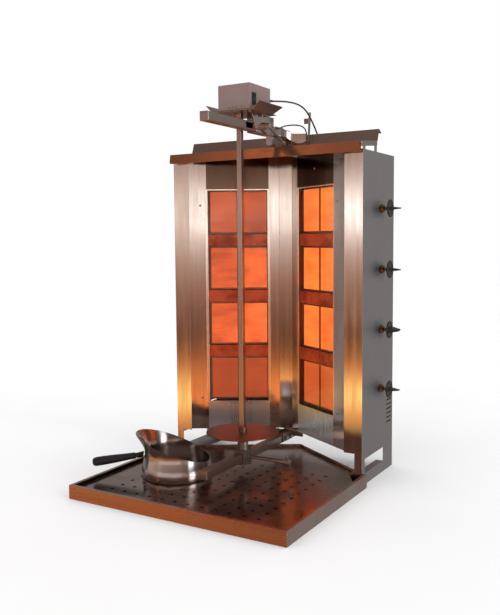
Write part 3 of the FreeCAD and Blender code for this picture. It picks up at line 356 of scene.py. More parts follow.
def window_panel(t, place):
    """The wall above the window is darker brown, and the wall under it is duller, with a pale
    bluish colour that is a painted reflection.
    """
    axes = t.split(place)
    off_middle = t.math("SUBTRACT", t.math("ABSOLUTE", axes["X"]), PANEL_MIDDLE_X)
    inner = t.remap(t.math("ABSOLUTE", off_middle), *PANEL_SIDE, 1.0, 0.0)
    above = t.math("MULTIPLY", inner, t.remap(axes["Z"], *PANEL_ABOVE, 0.0, 1.0))
    under = t.math("MULTIPLY", inner, t.remap(axes["Z"], *PANEL_UNDER, 1.0, 0.0))
    # Under the window the pale colour is a painted reflection; the extra roughness there is real.
    colour = t.mix(under, ABOVE_WINDOW_BROWN, PAINTED_PALE_REFLECTION)
    return t.math("ADD", above, under), colour, t.math("MULTIPLY", under, 0.16)


def steel(name, colour, rough, stretch=UP, aniso=0.7, streak=0.04, smear=0.05, tint=None,
          wave=0.25, fineness=60.0, zone=None, rotation=0.0):
    """Ground sheet or bar: hairlines, wiped smears, grease spots and slow waves.

    Streak and smear are how far the roughness goes up and down, tint is the smears' colour,
    and a zone gives part of the piece a colour and gloss that differ from the rest; in the
    flange and window zones that colour is partly a painted reflection.
    """
    mat, t, shader = new_material(name)
    place = t.coords()
    grain = t.group(GRAIN, {"Place": place, "Stretch": stretch, "Fineness": fineness})
    marks = t.group(HANDLING, {"Place": place, "Size": 5.0})
    dark_lines = t.remap(grain["Hairline"], 0.3, 0.7, 0.0, 0.5)
    base = t.mix(dark_lines, colour, shade(colour, 0.86))
    base = t.mix(t.math("MULTIPLY", marks["Smear"], 0.45), base, tint or shade(colour, 0.84))
    base = t.mix(t.math("MULTIPLY", marks["Spots"], 0.14), base, shade(colour, 0.55))
    level = t.remap(grain["Streak"], 0.3, 0.7, rough - streak, rough + streak)
    level = t.math("ADD", level, t.math("MULTIPLY", marks["Smear"], smear))
    greasy = t.math("MULTIPLY", marks["Spots"], smear * 0.4)
    level = t.math("ADD", level, greasy, clamp=True)
    if zone:
        mask, zone_colour, extra = zone(t, place)
        base = t.mix(mask, base, zone_colour)
        level = t.math("ADD", level, extra, clamp=True)
    t.put(shader.inputs["Base Color"], base)
    t.put(shader.inputs["Roughness"], level)
    shader.inputs["Metallic"].default_value = 1.0
    shader.inputs["Anisotropic"].default_value = aniso
    shader.inputs["Anisotropic Rotation"].default_value = rotation
    streaks = t.math("MULTIPLY", grain["Streak"], 0.12)
    lines = t.math("ADD", streaks, t.math("MULTIPLY", grain["Hairline"], 0.08))
    waves = t.group(WAVES, {"Place": place, "Size": 3.5})
    slow = t.math("MULTIPLY", waves["Height"], wave * 40.0)
    t.put(shader.inputs["Normal"], t.bump(t.math("ADD", lines, slow), 0.06, 0.0006))
    return mat


def moulded(name, colour, rough, pores=0.15, scale=900.0, wear=1.8):
    """Moulded, painted or rubber surface: fine pores, rubbed paler patches and dust."""
    mat, t, shader = new_material(name)
    place = t.coords()
    marks = t.group(HANDLING, {"Place": place, "Size": 11.0})
    worn = tuple(min(1.0, c * wear + 0.012) for c in colour[:3]) + (1.0,)
    base = t.mix(t.math("MULTIPLY", marks["Smear"], 0.35), colour, worn)
    base = t.mix(t.math("MULTIPLY", marks["Spots"], 0.35), base, shade(colour, 0.6))
    t.put(shader.inputs["Base Color"], base)
    level = t.remap(marks["Smear"], 0.0, 1.0, rough - 0.05, rough + 0.14)
    t.put(shader.inputs["Roughness"], level)
    grains = t.noise(place, scale, 2.0, 0.5)
    t.put(shader.inputs["Normal"], t.bump(grains, pores, 0.0002))
    return mat


# Glow of the plaques, left and right, where they burn cooler and hotter
COOL_LEFT, COOL_RIGHT = (0.56, 0.074, 0.020, 1.0), (0.92, 0.125, 0.016, 1.0)
HOT_LEFT, HOT_RIGHT = (1.10, 0.165, 0.034, 1.0), (1.15, 0.260, 0.032, 1.0)
BURNT_CLAY, PALE_CLAY = (0.040, 0.016, 0.010, 1.0), (0.055, 0.024, 0.014, 1.0)


def glowing_ceramic():
    """Plaques with close rows of pin holes; the left wall's burn redder than the right's."""
    mat, t, shader = new_material("ceramic")
    place = t.coords()
    axes = t.split(place)
    cells = t.feed("ShaderNodeTexVoronoi", {
        "Vector": t.times(place, (1, 1, 1.15)), "Scale": 430.0, "Randomness": 0.1,
    })
    pin = t.remap(cells.outputs["Distance"], 0.10, 0.40, 0.70, 1.0)
    wave = t.noise(t.times(place, (0.5, 0.5, 2.2)), 26.0, 3.0, 0.6)
    patch = t.noise(place, 8.0, 2.0, 0.5)
    side = t.remap(axes["X"], -0.03, 0.03, 0.0, 1.0)
    cool = t.mix(side, COOL_LEFT, COOL_RIGHT)
    hot = t.mix(side, HOT_LEFT, HOT_RIGHT)
    patches = t.remap(patch, 0.35, 0.68, 0.0, 0.75)
    heat = t.math("ADD", patches, t.remap(wave, 0.35, 0.7, 0.0, 0.45), clamp=True)
    low = t.remap(axes["Z"], 0.30, 0.42, 0.58, 1.0, True)
    glow = t.mix(t.math("MULTIPLY", heat, t.math("MULTIPLY", low, low)), cool, hot)
    high = t.math("MAXIMUM", t.remap(axes["Z"], 0.62, 0.78, 1.0, 0.50, True), side)
    level = t.math("MULTIPLY", t.math("MULTIPLY", low, high), pin)
    lit = t.mix(1.0, glow, level, "MULTIPLY")
    t.put(shader.inputs["Base Color"], t.mix(heat, BURNT_CLAY, PALE_CLAY))
    shader.inputs["Roughness"].default_value = 0.85
    t.put(shader.inputs["Emission Color"], lit)
    shader.inputs["Emission Strength"].default_value = 1.14
    t.put(shader.inputs["Normal"], t.bump(pin, 0.5, 0.0004))
    return mat


def clear_glass():
    """Thin heat-resistant pane: clear straight on, mirroring at a slant, with a film of grease."""
    mat, t, shader = new_material("glass")
    film = t.noise(t.coords(), 14.0, 4.0, 0.6)
    facing = t.feed("ShaderNodeLayerWeight", {"Blend": 0.5}).outputs["Facing"]
    slant = t.math("POWER", facing, 3.5)
    mirror = t.math("MULTIPLY", slant, 0.35)
    cover = t.math("ADD", mirror, t.remap(film, 0.4, 0.8, 0.006, 0.026))
    tone = t.mix(film, (0.80, 0.78, 0.76, 1.0), (0.92, 0.90, 0.88, 1.0))
    t.put(shader.inputs["Base Color"], tone)
    t.put(shader.inputs["Roughness"], t.remap(film, 0.4, 0.8, 0.03, 0.14))
    shader.inputs["Metallic"].default_value = 1.0
    t.put(shader.inputs["Alpha"], cover)
    return mat


def bridge_sheet():
    """Bright sheet between the burners, reddish brown, with a painted glow that stands in for the
    burners' light on it.
    """
    mat, t, shader = new_material("burner_bridge_sheet")
    colour = (0.28, 0.075, 0.040, 1.0)
    place = t.coords()
    marks = t.group(HANDLING, {"Place": place, "Size": 16.0})
    grain = t.group(GRAIN, {"Place": place, "Stretch": EVEN, "Fineness": 90.0})
    base = t.mix(marks["Smear"], colour, shade(colour, 0.45))
    base = t.mix(t.math("MULTIPLY", marks["Spots"], 0.6), base, (0.05, 0.02, 0.015, 1.0))
    t.put(shader.inputs["Base Color"], base)
    t.put(shader.inputs["Roughness"], t.remap(grain["Streak"], 0.3, 0.7, 0.24, 0.42))
    shader.inputs["Metallic"].default_value = 1.0
    # Painted glow: the sheet is no lamp, and this emission stands in for the burners' light
    # falling on it.
    lit = t.mix(marks["Smear"], (1.0, 0.13, 0.04, 1.0), (0.50, 0.045, 0.015, 1.0))
    t.put(shader.inputs["Emission Color"], lit)
    shader.inputs["Emission Strength"].default_value = 0.24
    return mat


# Finishes by slot: colour and roughness, then how the surface differs from the usual
MATERIALS = {
    "stainless_sheet": steel("stainless_sheet", STAINLESS, 0.13),
    "grey_side_sheet": steel("grey_side_sheet", (0.53, 0.52, 0.52, 1.0), 0.42, aniso=0.2,
                             zone=front_flange),
    "bright_trim": steel("bright_trim", (0.95, 0.90, 0.80, 1.0), 0.22),
    "glass": clear_glass(),
    "ceramic": glowing_ceramic(),
    "burner_sheet": steel("burner_sheet", (0.30, 0.20, 0.16, 1.0), 0.42, aniso=0.2,
                          tint=(0.16, 0.08, 0.05, 1.0)),
    "brass": steel("brass", (0.30, 0.20, 0.09, 1.0), 0.34, EVEN, 0.0),
    "gas_pipe": moulded("gas_pipe", (0.62, 0.46, 0.07, 1.0), 0.42, wear=1.3),
    "copper_pipe": steel("copper_pipe", (0.74, 0.38, 0.22, 1.0), 0.28, EVEN, 0.0,
                         tint=(0.35, 0.17, 0.10, 1.0)),
    "black_plastic": moulded("black_plastic", (0.010, 0.010, 0.011, 1.0), 0.26),
    "dark_plastic": moulded("dark_plastic", (0.022, 0.020, 0.020, 1.0), 0.48),
    "cover_paint": moulded("cover_paint", (0.245, 0.165, 0.152, 1.0), 0.42, pores=0.28,
                           scale=1400.0, wear=1.2),
    "bar_steel": steel("bar_steel", (0.46, 0.36, 0.32, 1.0), 0.28, aniso=0.4,
                       tint=(0.34, 0.22, 0.17, 1.0)),
    "cast_block": steel("cast_block", (0.36, 0.31, 0.28, 1.0), 0.46, EVEN, 0.0, streak=0.12),
    "zinc": steel("zinc", (0.62, 0.57, 0.54, 1.0), 0.30, EVEN, 0.0),
    "disc_steel": steel("disc_steel", (0.34, 0.19, 0.15, 1.0), 0.34, EVEN, 0.0,
                        tint=(0.22, 0.11, 0.08, 1.0)),
    "cable_rubber": moulded("cable_rubber", (0.050, 0.020, 0.015, 1.0), 0.46, pores=0.1,
                            scale=1500.0, wear=1.5),
}

# Finishes of single pieces
WALL_SHEET = steel("wall_sheet", STAINLESS, 0.13, zone=window_panel)
HOOD_SHEET = steel("hood_sheet", (0.56, 0.48, 0.43, 1.0), 0.20, ACROSS, 0.4,
                   tint=(0.42, 0.30, 0.24, 1.0))
ARM_TUBE = steel("arm_tube", (0.50, 0.42, 0.38, 1.0), 0.32, DEEP, 0.3,
                 tint=(0.30, 0.22, 0.18, 1.0))
TRAY_SHEET = steel("tray_sheet", (0.62, 0.50, 0.44, 1.0), 0.24, ACROSS, 0.4,
                   tint=(0.44, 0.30, 0.22, 1.0))
INSERT_SHEET = steel("insert_sheet", (0.46, 0.36, 0.32, 1.0), 0.15, ACROSS, 0.3, smear=0.10,
                     tint=(0.30, 0.20, 0.16, 1.0), wave=0.6)
PAN_STEEL = steel("pan_steel", (0.54, 0.49, 0.47, 1.0), 0.20, ROUND, 0.85, streak=0.03,
                  smear=0.06, wave=0.1, fineness=20.0, rotation=0.25)
DARK_NECK = steel("dark_neck", (0.070, 0.060, 0.056, 1.0), 0.40, EVEN, 0.0)
FINISH = {
    "burner_bridges": bridge_sheet(),
    "heating_wall_left": WALL_SHEET,
    "heating_wall_right": WALL_SHEET,
    "hood": HOOD_SHEET,
    "hood_brackets": HOOD_SHEET,
    "upper_arm": ARM_TUBE,
    "arm_caps": ARM_TUBE,
    "motor_plate": ARM_TUBE,
    "lower_arm": ARM_TUBE,
    "lower_arm_mount": ARM_TUBE,
    "drip_tray": TRAY_SHEET,
    "tray_insert": INSERT_SHEET,
    "pan_body": PAN_STEEL,
    "pan_ferrule": DARK_NECK,
}

SLOTS = {part["node"]: part["material_slot"] for part in frame["record"]["subparts"]}
BODY_OF = {n: b for b, names in frame["record"]["behaviour"]["bodies"].items() for n in names}


# Pieces on their bodies
def place_piece(name, mesh, node):
    """Put a finished mesh in the place of its node, with the node's finish and body."""
    obj = add_object(name, mesh)
    mesh.materials.clear()
    mesh.materials.append(FINISH[node] if node in FINISH else MATERIALS[SLOTS[node]])
    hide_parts(node)
    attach(obj, BODY_OF[node])


def place_detail(name, mesh, body):
    """Put a small mesh that no node stands for on a body."""
    obj = add_object(name, mesh)
    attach(obj, body)


def even_shading(mesh):
    """Flat faces stay flat beside their rounded edges."""
    obj = add_object("shading", mesh)
    modifier = obj.modifiers.new("shading", "WEIGHTED_NORMAL")
    modifier.keep_sharp = True
    modifier.weight = 100
    result = baked(obj)
    bpy.data.objects.remove(obj)
    return result


def outer_corners(work):
    """The long edges that lie along the corners of a shape's box."""
    low = [min(v.co[i] for v in work.verts) for i in range(3)]
    high = [max(v.co[i] for v in work.verts) for i in range(3)]

    def on_corner(edge):
        sides = 0
        for i in range(3):
            for limit in (low[i], high[i]):
                sides += all(abs(v.co[i] - limit) < 2e-5 for v in edge.verts)
        return sides >= 2 and edge.calc_length() > 0.02

    return [e for e in work.edges if on_corner(e)]


def bevel(work, edges, width, segments, profile, clamp):
    bmesh.ops.bevel(work, geom=edges, offset=width, segments=segments, profile=profile,
                    affect="EDGES", clamp_overlap=clamp)


def soften(node, width, corner_width, raise_top):
    """A copy of a node's solid with its edges rounded, and its outer corners rounded more.

    raise_top carries the top edge up behind the hood's fascia.
    """
    mesh = node.data.copy()
    work = bmesh.new()
    work.from_mesh(mesh)
    bmesh.ops.remove_doubles(work, verts=work.verts, dist=1e-6)
    if raise_top:
        top = max(v.co.z for v in work.verts)
        for vert in work.verts:
            if vert.co.z > top - 1e-4:
                vert.co.z += raise_top
    if width or corner_width:
        bmesh.ops.dissolve_limit(
            work, angle_limit=math.radians(1.0), verts=work.verts, edges=work.edges)
    if corner_width:
        bevel(work, outer_corners(work), corner_width, 4, 0.5, False)
    if width:
        folded = math.radians(40)
        edges = [e for e in work.edges
                 if len(e.link_faces) == 2 and e.calc_face_angle(0.0) > folded]
        bevel(work, edges, width, 2, 0.6, True)
    work.to_mesh(mesh)
    work.free()
    finish_mesh(mesh)
    return even_shading(mesh)


# Geometry Nodes: round perforations and screw heads
def finish_tree(t, geometry, given, out):
    """End a tree with real geometry in its finish."""
    real = t.feed("GeometryNodeRealizeInstances", {"Geometry": geometry}).outputs[0]
    coated = t.feed("GeometryNodeSetMaterial", {"Geometry": real, "Material": given["Finish"]})
    t.put(out["Geometry"], coated.outputs[0])


def perforation_tree():
    """Punches a grid of round holes through a plate."""
    group, t, given, out = new_group("round_perforations", "GeometryNodeTree", [
        ("Plate", "Geometry", None), ("Columns", "Int", 12), ("Rows", "Int", 10),
        ("Pitch", "Float", 0.0437), ("Hole radius", "Float", 0.0054),
        ("Centre", "Vector", (0, 0, 0)), ("Finish", "Material", None),
    ], [("Geometry", "Geometry")])

    def span(count):
        return t.math("MULTIPLY", t.math("SUBTRACT", count, 1.0), given["Pitch"])

    grid = t.feed("GeometryNodeMeshGrid", {
        "Size X": span(given["Columns"]), "Size Y": span(given["Rows"]),
        "Vertices X": given["Columns"], "Vertices Y": given["Rows"],
    }).outputs["Mesh"]
    moved = t.feed("GeometryNodeTransform", {
        "Geometry": grid, "Translation": given["Centre"],
    }).outputs[0]
    punch = t.feed("GeometryNodeMeshCylinder", {
        "Vertices": 28, "Radius": given["Hole radius"], "Depth": 0.012,
    }).outputs["Mesh"]
    punches = t.feed("GeometryNodeInstanceOnPoints", {
        "Points": moved, "Instance": punch,
    }).outputs[0]
    solid = t.feed("GeometryNodeRealizeInstances", {"Geometry": punches}).outputs[0]
    cut = t.feed("GeometryNodeMeshBoolean", {
        "Mesh 1": given["Plate"], "Mesh 2": solid,
    }, operation="DIFFERENCE").outputs[0]
    finish_tree(t, cut, given, out)
    return group


def screw_tree():
    """Sets a domed screw head with a cross recess on every point, along the point's facing."""
    group, t, given, out = new_group("cross_head_screws", "GeometryNodeTree", [
        ("Places", "Geometry", None), ("Radius", "Float", 0.0045), ("Height", "Float", 0.0024),
        ("Recess", "Float", 0.0011), ("Finish", "Material", None),
    ], [("Geometry", "Geometry")])
    head = t.feed("GeometryNodeMeshCone", {
        "Vertices": 20, "Radius Top": t.math("MULTIPLY", given["Radius"], 0.62),
        "Radius Bottom": given["Radius"], "Depth": given["Height"],
    }).outputs["Mesh"]
    cut = t.add("GeometryNodeMeshBoolean", operation="DIFFERENCE")
    t.put(cut.inputs["Mesh 1"], head)
    lift = t.feed("ShaderNodeCombineXYZ", {"Z": t.math("MULTIPLY", given["Height"], 1.1)})
    for long, wide in ((given["Radius"], given["Recess"]), (given["Recess"], given["Radius"])):
        size = t.feed("ShaderNodeCombineXYZ", {"X": long, "Y": wide, "Z": given["Height"]})
        bar = t.feed("GeometryNodeMeshCube", {"Size": size.outputs[0]}).outputs["Mesh"]
        arm = t.feed("GeometryNodeTransform", {
            "Geometry": bar, "Translation": lift.outputs[0],
        }).outputs[0]
        t.links.new(arm, cut.inputs["Mesh 2"])
    facing = t.feed("GeometryNodeInputNamedAttribute", {
        "Name": "facing",
    }, data_type="FLOAT_VECTOR").outputs["Attribute"]
    turn = t.feed("FunctionNodeAlignRotationToVector", {"Vector": facing}, axis="Z").outputs[0]
    heads = t.feed("GeometryNodeInstanceOnPoints", {
        "Points": given["Places"], "Instance": cut.outputs[0], "Rotation": turn,
    }).outputs[0]
    finish_tree(t, heads, given, out)
    return group


def run_tree(name, mesh, tree, settings):
    """The mesh that a node tree makes of another, with nothing left live."""
    obj = add_object(name, mesh)
    modifier = obj.modifiers.new(name, "NODES")
    modifier.node_group = tree
    for item in tree.interface.items_tree:
        if item.in_out == "INPUT" and item.name in settings:
            modifier[item.identifier] = settings[item.name]
    result = baked(obj)
    obj.modifiers.clear()
    bpy.data.objects.remove(obj)
    result.name = name
    return result


# Cables, with a soft sleeve where the motor cable leaves its gland: distances along it and radii
RELIEF = [(0.0, 5.4), (2.0, 5.2), (12.0, 4.0), (20.0, 3.2), (22.0, 2.9)]


def make_relief(start, ahead):
    count = 24
    way = (Vector(ahead) - Vector(start)).normalized()
    side = way.cross(Vector((0, 0, 1))).normalized()
    up = side.cross(way)
    verts = []
    for run, r in RELIEF:
        centre = Vector(start) / MM + way * run
        for a in round_angles(count):
            verts.append(tuple(centre + side * (r * math.cos(a)) + up * (r * math.sin(a))))
    mesh = make_mesh("cable_relief", verts, rings_to_faces(len(RELIEF), count))
    mesh.materials.append(MATERIALS["dark_plastic"])
    place_detail("cable_relief", mesh, "motor_carriage")


def make_cables():
    cable, path = smooth_line("motor_cable_line", MOTOR_ROUTE, 0.005)
    lead, lead_path = smooth_line("thin_lead_line", LEAD_ROUTE, 0.004)
    for obj in (cable, lead):
        obj.data.materials.clear()
        obj.data.materials.append(MATERIALS["cable_rubber"])
        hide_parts("motor_cable")
    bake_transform(cable)
    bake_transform(lead)
    make_relief(path[0], path[3])


# Perforated insert: a punched plate on folded edges
INSERT_HALF, INSERT_FRONT, INSERT_SIDE_END = 338.8, -487.3, -70.4
INSERT_FOOT, INSERT_TOP, INSERT_T = 1.5, 30.0, 1.2
INSERT_OUTLINE = [
    (-INSERT_HALF, INSERT_FRONT), (INSERT_HALF, INSERT_FRONT), (INSERT_HALF, INSERT_SIDE_END),
    (299, -5.4), (299, 20), (28, 198.5), (-299, 2.5), (-299, -5.4),
    (-INSERT_HALF, INSERT_SIDE_END),
]
HOLES_CENTRE = (0.0, -0.24435, 0.0294)


def plate_shape(outline, z0, z1):
    return [(x, y, z) for z in (z0, z1) for x, y in outline], rings_to_faces(2, len(outline))


def fold(x0, x1, y0, y1):
    """A folded edge between the insert's foot and its plate."""
    outline = [(x0, y0), (x1, y0), (x1, y1), (x0, y1)]
    return plate_shape(outline, INSERT_FOOT, INSERT_TOP - INSERT_T)


def make_insert():
    plate = plate_shape(INSERT_OUTLINE, INSERT_TOP - INSERT_T, INSERT_TOP)
    punched = run_tree(
        "insert_top", make_mesh("insert_plate", *plate, smooth=False), perforation_tree(),
        {"Centre": HOLES_CENTRE, "Finish": INSERT_SHEET})
    folds = merge_shapes([
        fold(-INSERT_HALF, INSERT_HALF, INSERT_FRONT, INSERT_FRONT + INSERT_T),
        fold(-INSERT_HALF, -INSERT_HALF + INSERT_T, INSERT_FRONT, INSERT_SIDE_END),
        fold(INSERT_HALF - INSERT_T, INSERT_HALF, INSERT_FRONT, INSERT_SIDE_END),
        fold(-20, 60, 150, 150 + INSERT_T),
    ])
    work = bmesh.new()
    work.from_mesh(punched)
    work.from_mesh(make_mesh("insert_folds", *folds, smooth=False))
    mesh = bpy.data.meshes.new("perforated_insert")
    work.to_mesh(mesh)
    work.free()
    finish_mesh(mesh)
    place_piece("perforated_insert", mesh, "tray_insert")


# Catch pan: radii and heights of its spun wall, of its foot outside and of its floor inside
PAN_X, PAN_Y = -160.0, -243.0
PAN_T = 1.5
PAN_WALL = [
    (104.0, 34.0), (105.4, 42.0), (105.2, 52.0), (103.0, 64.0), (99.8, 76.0), (96.8, 88.0),
    (95.2, 99.0), (95.6, 109.0), (98.8, 120.0), (104.4, 131.0), (111.2, 143.0), (117.6, 153.0),
    (123.0, 161.0),
]
PAN_FOOT = [(30, 30.3), (85, 30.3), (100, 30.3), (102.8, 31.2)]
PAN_FLOOR = [(101.0, 32.9), (98.5, 31.8), (85, 31.8), (30, 31.8)]
# The slanting cut at its mouth: height in the middle, slope, and the way in which it rises
CUT_Z, CUT_SLOPE, CUT_HIGH = 114.0, 0.37, math.radians(-155.0)


def along(line, share):
    """The point at a share of a line's length."""
    steps = [math.dist(a, b) for a, b in zip(line, line[1:])]
    rest = share * sum(steps)
    for (a, b), step in zip(zip(line, line[1:]), steps):
        if rest <= step:
            u = rest / step
            return a[0] + (b[0] - a[0]) * u, a[1] + (b[1] - a[1]) * u
        rest -= step
    return line[-1]


def cut_share(angle):
    """How far up the pan's wall its slanting edge lies at this angle."""
    low, high = 0.0, 1.0
    for _ in range(24):
        middle = (low + high) / 2
        r, z = along(PAN_WALL, middle)
        if z < CUT_Z + CUT_SLOPE * r * math.cos(angle - CUT_HIGH):
            low = middle
        else:
            high = middle
    return low


def make_pan():
    count, levels = 96, 26
    angles = round_angles(count)
    tops = [cut_share(a) for a in angles]

    def place(a, r, z):
        return PAN_X + r * math.cos(a), PAN_Y + r * math.sin(a), z

    def flat(r, z):
        return [place(a, r, z) for a in angles]

    def wall(level, inset):
        made = []
        for a, top in zip(angles, tops):
            r, z = along(PAN_WALL, top * level / levels)
            made.append(place(a, r - inset, z))
        return made

    rings = [flat(r, z) for r, z in PAN_FOOT]
    rings += [wall(level, 0.0) for level in range(levels + 1)]
    rings += [wall(level, PAN_T) for level in range(levels, -1, -1)]
    rings += [flat(r, z) for r, z in PAN_FLOOR]
    verts = [v for made in rings for v in made]
    mesh = make_mesh("spun_pan", verts, rings_to_faces(len(rings), count), sharp=50.0)
    place_piece("catch_pan_bowl", mesh, "pan_body")


# Pan handle: it leaves the pan at a height, drops outwards and points away at an angle
GRIP_Z, GRIP_ROOT, GRIP_START = 92.0, 102.0, 124.1
GRIP_DROP, GRIP_TURN = math.radians(8.5), math.radians(-148.9)
GRIP_SECTIONS = [
    (0, 8.2), (1.2, 9.2), (3, 9.5), (22, 10.0), (45, 11.2), (70, 12.6), (95, 13.4),
    (114, 13.6), (123, 12.6), (128, 10.0), (129.8, 6.0),
]


def beside_pan(x, y, z):
    """From a place along the level handle to its place beside the pan."""
    run, rise = x - GRIP_ROOT, z - GRIP_Z
    out = GRIP_ROOT + run * math.cos(GRIP_DROP) + rise * math.sin(GRIP_DROP)
    up = GRIP_Z - run * math.sin(GRIP_DROP) + rise * math.cos(GRIP_DROP)
    c, s = math.cos(GRIP_TURN), math.sin(GRIP_TURN)
    return PAN_X + out * c - y * s, PAN_Y + out * s + y * c, up


def make_pan_grip():
    count = 40
    verts = []
    for x, r in GRIP_SECTIONS:
        for a in round_angles(count):
            verts.append(beside_pan(GRIP_START + x, r * math.cos(a), GRIP_Z + r * math.sin(a)))
    faces = rings_to_faces(len(GRIP_SECTIONS), count)
    mesh = make_mesh("pan_grip", verts, faces, sharp=60.0)
    place_piece("catch_pan_grip", mesh, "pan_handle")


# Gas knobs: a round disc, as distances from the cabinet's middle and radii, and a tapered grip
KNOB_Y = 151.0
KNOB_Z = [822.65, 637.983, 453.317, 268.65]
KNOB_ANGLES = [4, -8, 14, -3]
KNOB_DISC = [
    (352, 7.6), (352, 9.0), (359.6, 9.0), (360, 10), (360, 25.6), (360.5, 26.6), (361.5, 27),
    (362.6, 26.8), (363.5, 26.0), (364, 24.4), (363.7, 21.0), (363.4, 12.0),
]
# The grip across it: distances, half lengths and half widths
KNOB_GRIP = [
    (362.8, 22.6, 6.2), (364, 22.2, 5.6), (367, 21.0, 4.8), (373, 18.4, 4.1), (381, 14.6, 3.2),
    (389, 10.8, 2.3), (393.6, 8.6, 1.7), (394.7, 7.6, 1.2), (395, 6.4, 0.6),
]
GRIP_SQUARE = 0.55


def make_knob(number):
    """One knob; a low GRIP_SQUARE makes the grip's section more square."""
    z0 = KNOB_Z[number - 1]
    verts, count = [], 64
    for x, r in KNOB_DISC:
        for a in round_angles(count):
            verts.append((x, KNOB_Y + r * math.cos(a), z0 + r * math.sin(a)))
    disc = verts, rings_to_faces(len(KNOB_DISC), count)
    turn = math.radians(KNOB_ANGLES[number - 1])
    turn_c, turn_s = math.cos(turn), math.sin(turn)
    verts, count = [], 32
    for x, half_y, half_z in KNOB_GRIP:
        for a in round_angles(count):
            c, s = math.cos(a), math.sin(a)
            y = half_y * math.copysign(abs(c) ** GRIP_SQUARE, c)
            z = half_z * math.copysign(abs(s) ** GRIP_SQUARE, s)
            verts.append((x, KNOB_Y + y * turn_c - z * turn_s, z0 + y * turn_s + z * turn_c))
    grip = verts, rings_to_faces(len(KNOB_GRIP), count)
    mesh = make_mesh("knob_%d" % number, *merge_shapes([disc, grip]), sharp=50.0)
    place_piece("gas_knob_%d_look" % number, mesh, "gas_knob_%d" % number)


# Screws on the heating walls, as places along the wall and heights, the back and the motor cover
V_ANGLE = math.radians(31.0)
APEX_Y = 168.04
WALL_SCREWS = [(161.7, 948.0), (286.0, 843.0), (286.0, 205.0), (286.0, 520.0), (161.7, 132.0)]
BACK_Y, BACK_SCREW_X = 252.0, 322
BACK_SCREW_Z = [120, 330, 540, 750, 960]
COVER_HALF, COVER_SCREW_Z = 54.0, 1110.5
COVER_SCREW_Y = [-146.0, -50.0]


def on_wall(side, s, z):
    """A place at a distance s from the V's apex along a heating wall, and the wall's facing."""
    c, d = math.cos(V_ANGLE), math.sin(V_ANGLE)
    return (side * s * c, APEX_Y - s * d, z), (-side * d, -c, 0.0)


def make_screws(tree, name, spots, body, radius, height):
    """Screw heads of one size on one body; a spot is a place in millimetres and a facing."""
    points = bpy.data.meshes.new(name + "_places")
    points.from_pydata([tuple(c * MM for c in place) for place, _ in spots], [], [])
    facing = points.attributes.new("facing", "FLOAT_VECTOR", "POINT")
    facing.data.foreach_set("vector", [c for _, way in spots for c in way])
    settings = {"Radius": radius, "Height": height, "Finish": MATERIALS["zinc"]}
    mesh = run_tree(name, points, tree, settings)
    finish_mesh(mesh)
    place_detail(name, mesh, body)


def make_all_screws():
    tree = screw_tree()
    wall = [on_wall(side, s, z) for side in (-1, 1) for s, z in WALL_SCREWS]
    rear = [((x, BACK_Y, z), (0, 1, 0)) for x in (-BACK_SCREW_X, BACK_SCREW_X)
            for z in BACK_SCREW_Z]
    cover = [((side * COVER_HALF, y, COVER_SCREW_Z), (side, 0, 0)) for y in COVER_SCREW_Y
             for side in (1, -1)]
    make_screws(tree, "wall_screws", wall, "cabinet", radius=0.0036, height=0.0016)
    make_screws(tree, "rear_screws", rear, "cabinet", radius=0.0040, height=0.0020)
    make_screws(tree, "cover_screws", cover, "motor_carriage", radius=0.0026, height=0.0012)


KNOBS = (1, 2, 3, 4)
make_cables()
make_insert()
make_pan()
make_pan_grip()
for number in KNOBS:
    make_knob(number)
make_all_screws()

# The remaining pieces keep their solids' shape; EDGES and CORNERS round them by so many metres
EDGE = 0.0006
EDGES = {
    "glass_panes": 0.0, "upper_arm_bracket": 0.0, "gas_valves": 0.0, "burner_pipes": 0.0,
    "gas_manifold": 0.0, "ceramic_plaques": 0.0004, "gearmotor": 0.0005, "drip_tray": 0.0005,
    "hood": 0.0007, "spit": 0.0009,
}
CORNERS = {"motor_cover": 0.0022, "upper_arm": 0.0025, "lower_arm": 0.0025, "gearmotor": 0.002}
RAISED = {"heating_wall_left": 0.016, "heating_wall_right": 0.016, "centre_post": 0.016}
SHAPED = {"tray_insert", "pan_body", "pan_handle", "motor_cable"}
SHAPED |= {"gas_knob_%d" % number for number in KNOBS}
for name, node in frame["nodes"].items():
    if name not in SHAPED:
        mesh = soften(
            node, EDGES.get(name, EDGE), CORNERS.get(name, 0.0), RAISED.get(name, 0.0))
        place_piece(name + "_look", mesh, name)


# Floor and studio
def make_floor():
    reach = 9000
    corners = [(-reach, -reach, 0), (reach, -reach, 0), (reach, reach, 0), (-reach, reach, 0)]
    mesh = make_mesh("floor", corners, [(0, 1, 2, 3)])
    floor = add_object("floor", mesh)
    mat, t, shader = new_material("floor")
    tone = t.noise(t.coords(), 3.0, 2.0, 0.5)
    white = t.mix(tone, (0.90, 0.90, 0.90, 1.0), (0.94, 0.94, 0.94, 1.0))
    t.put(shader.inputs["Base Color"], white)
    shader.inputs["Roughness"].default_value = 0.9
    shader.inputs["Specular IOR Level"].default_value = 0.0
    mesh.materials.append(mat)
    floor.visible_glossy = False


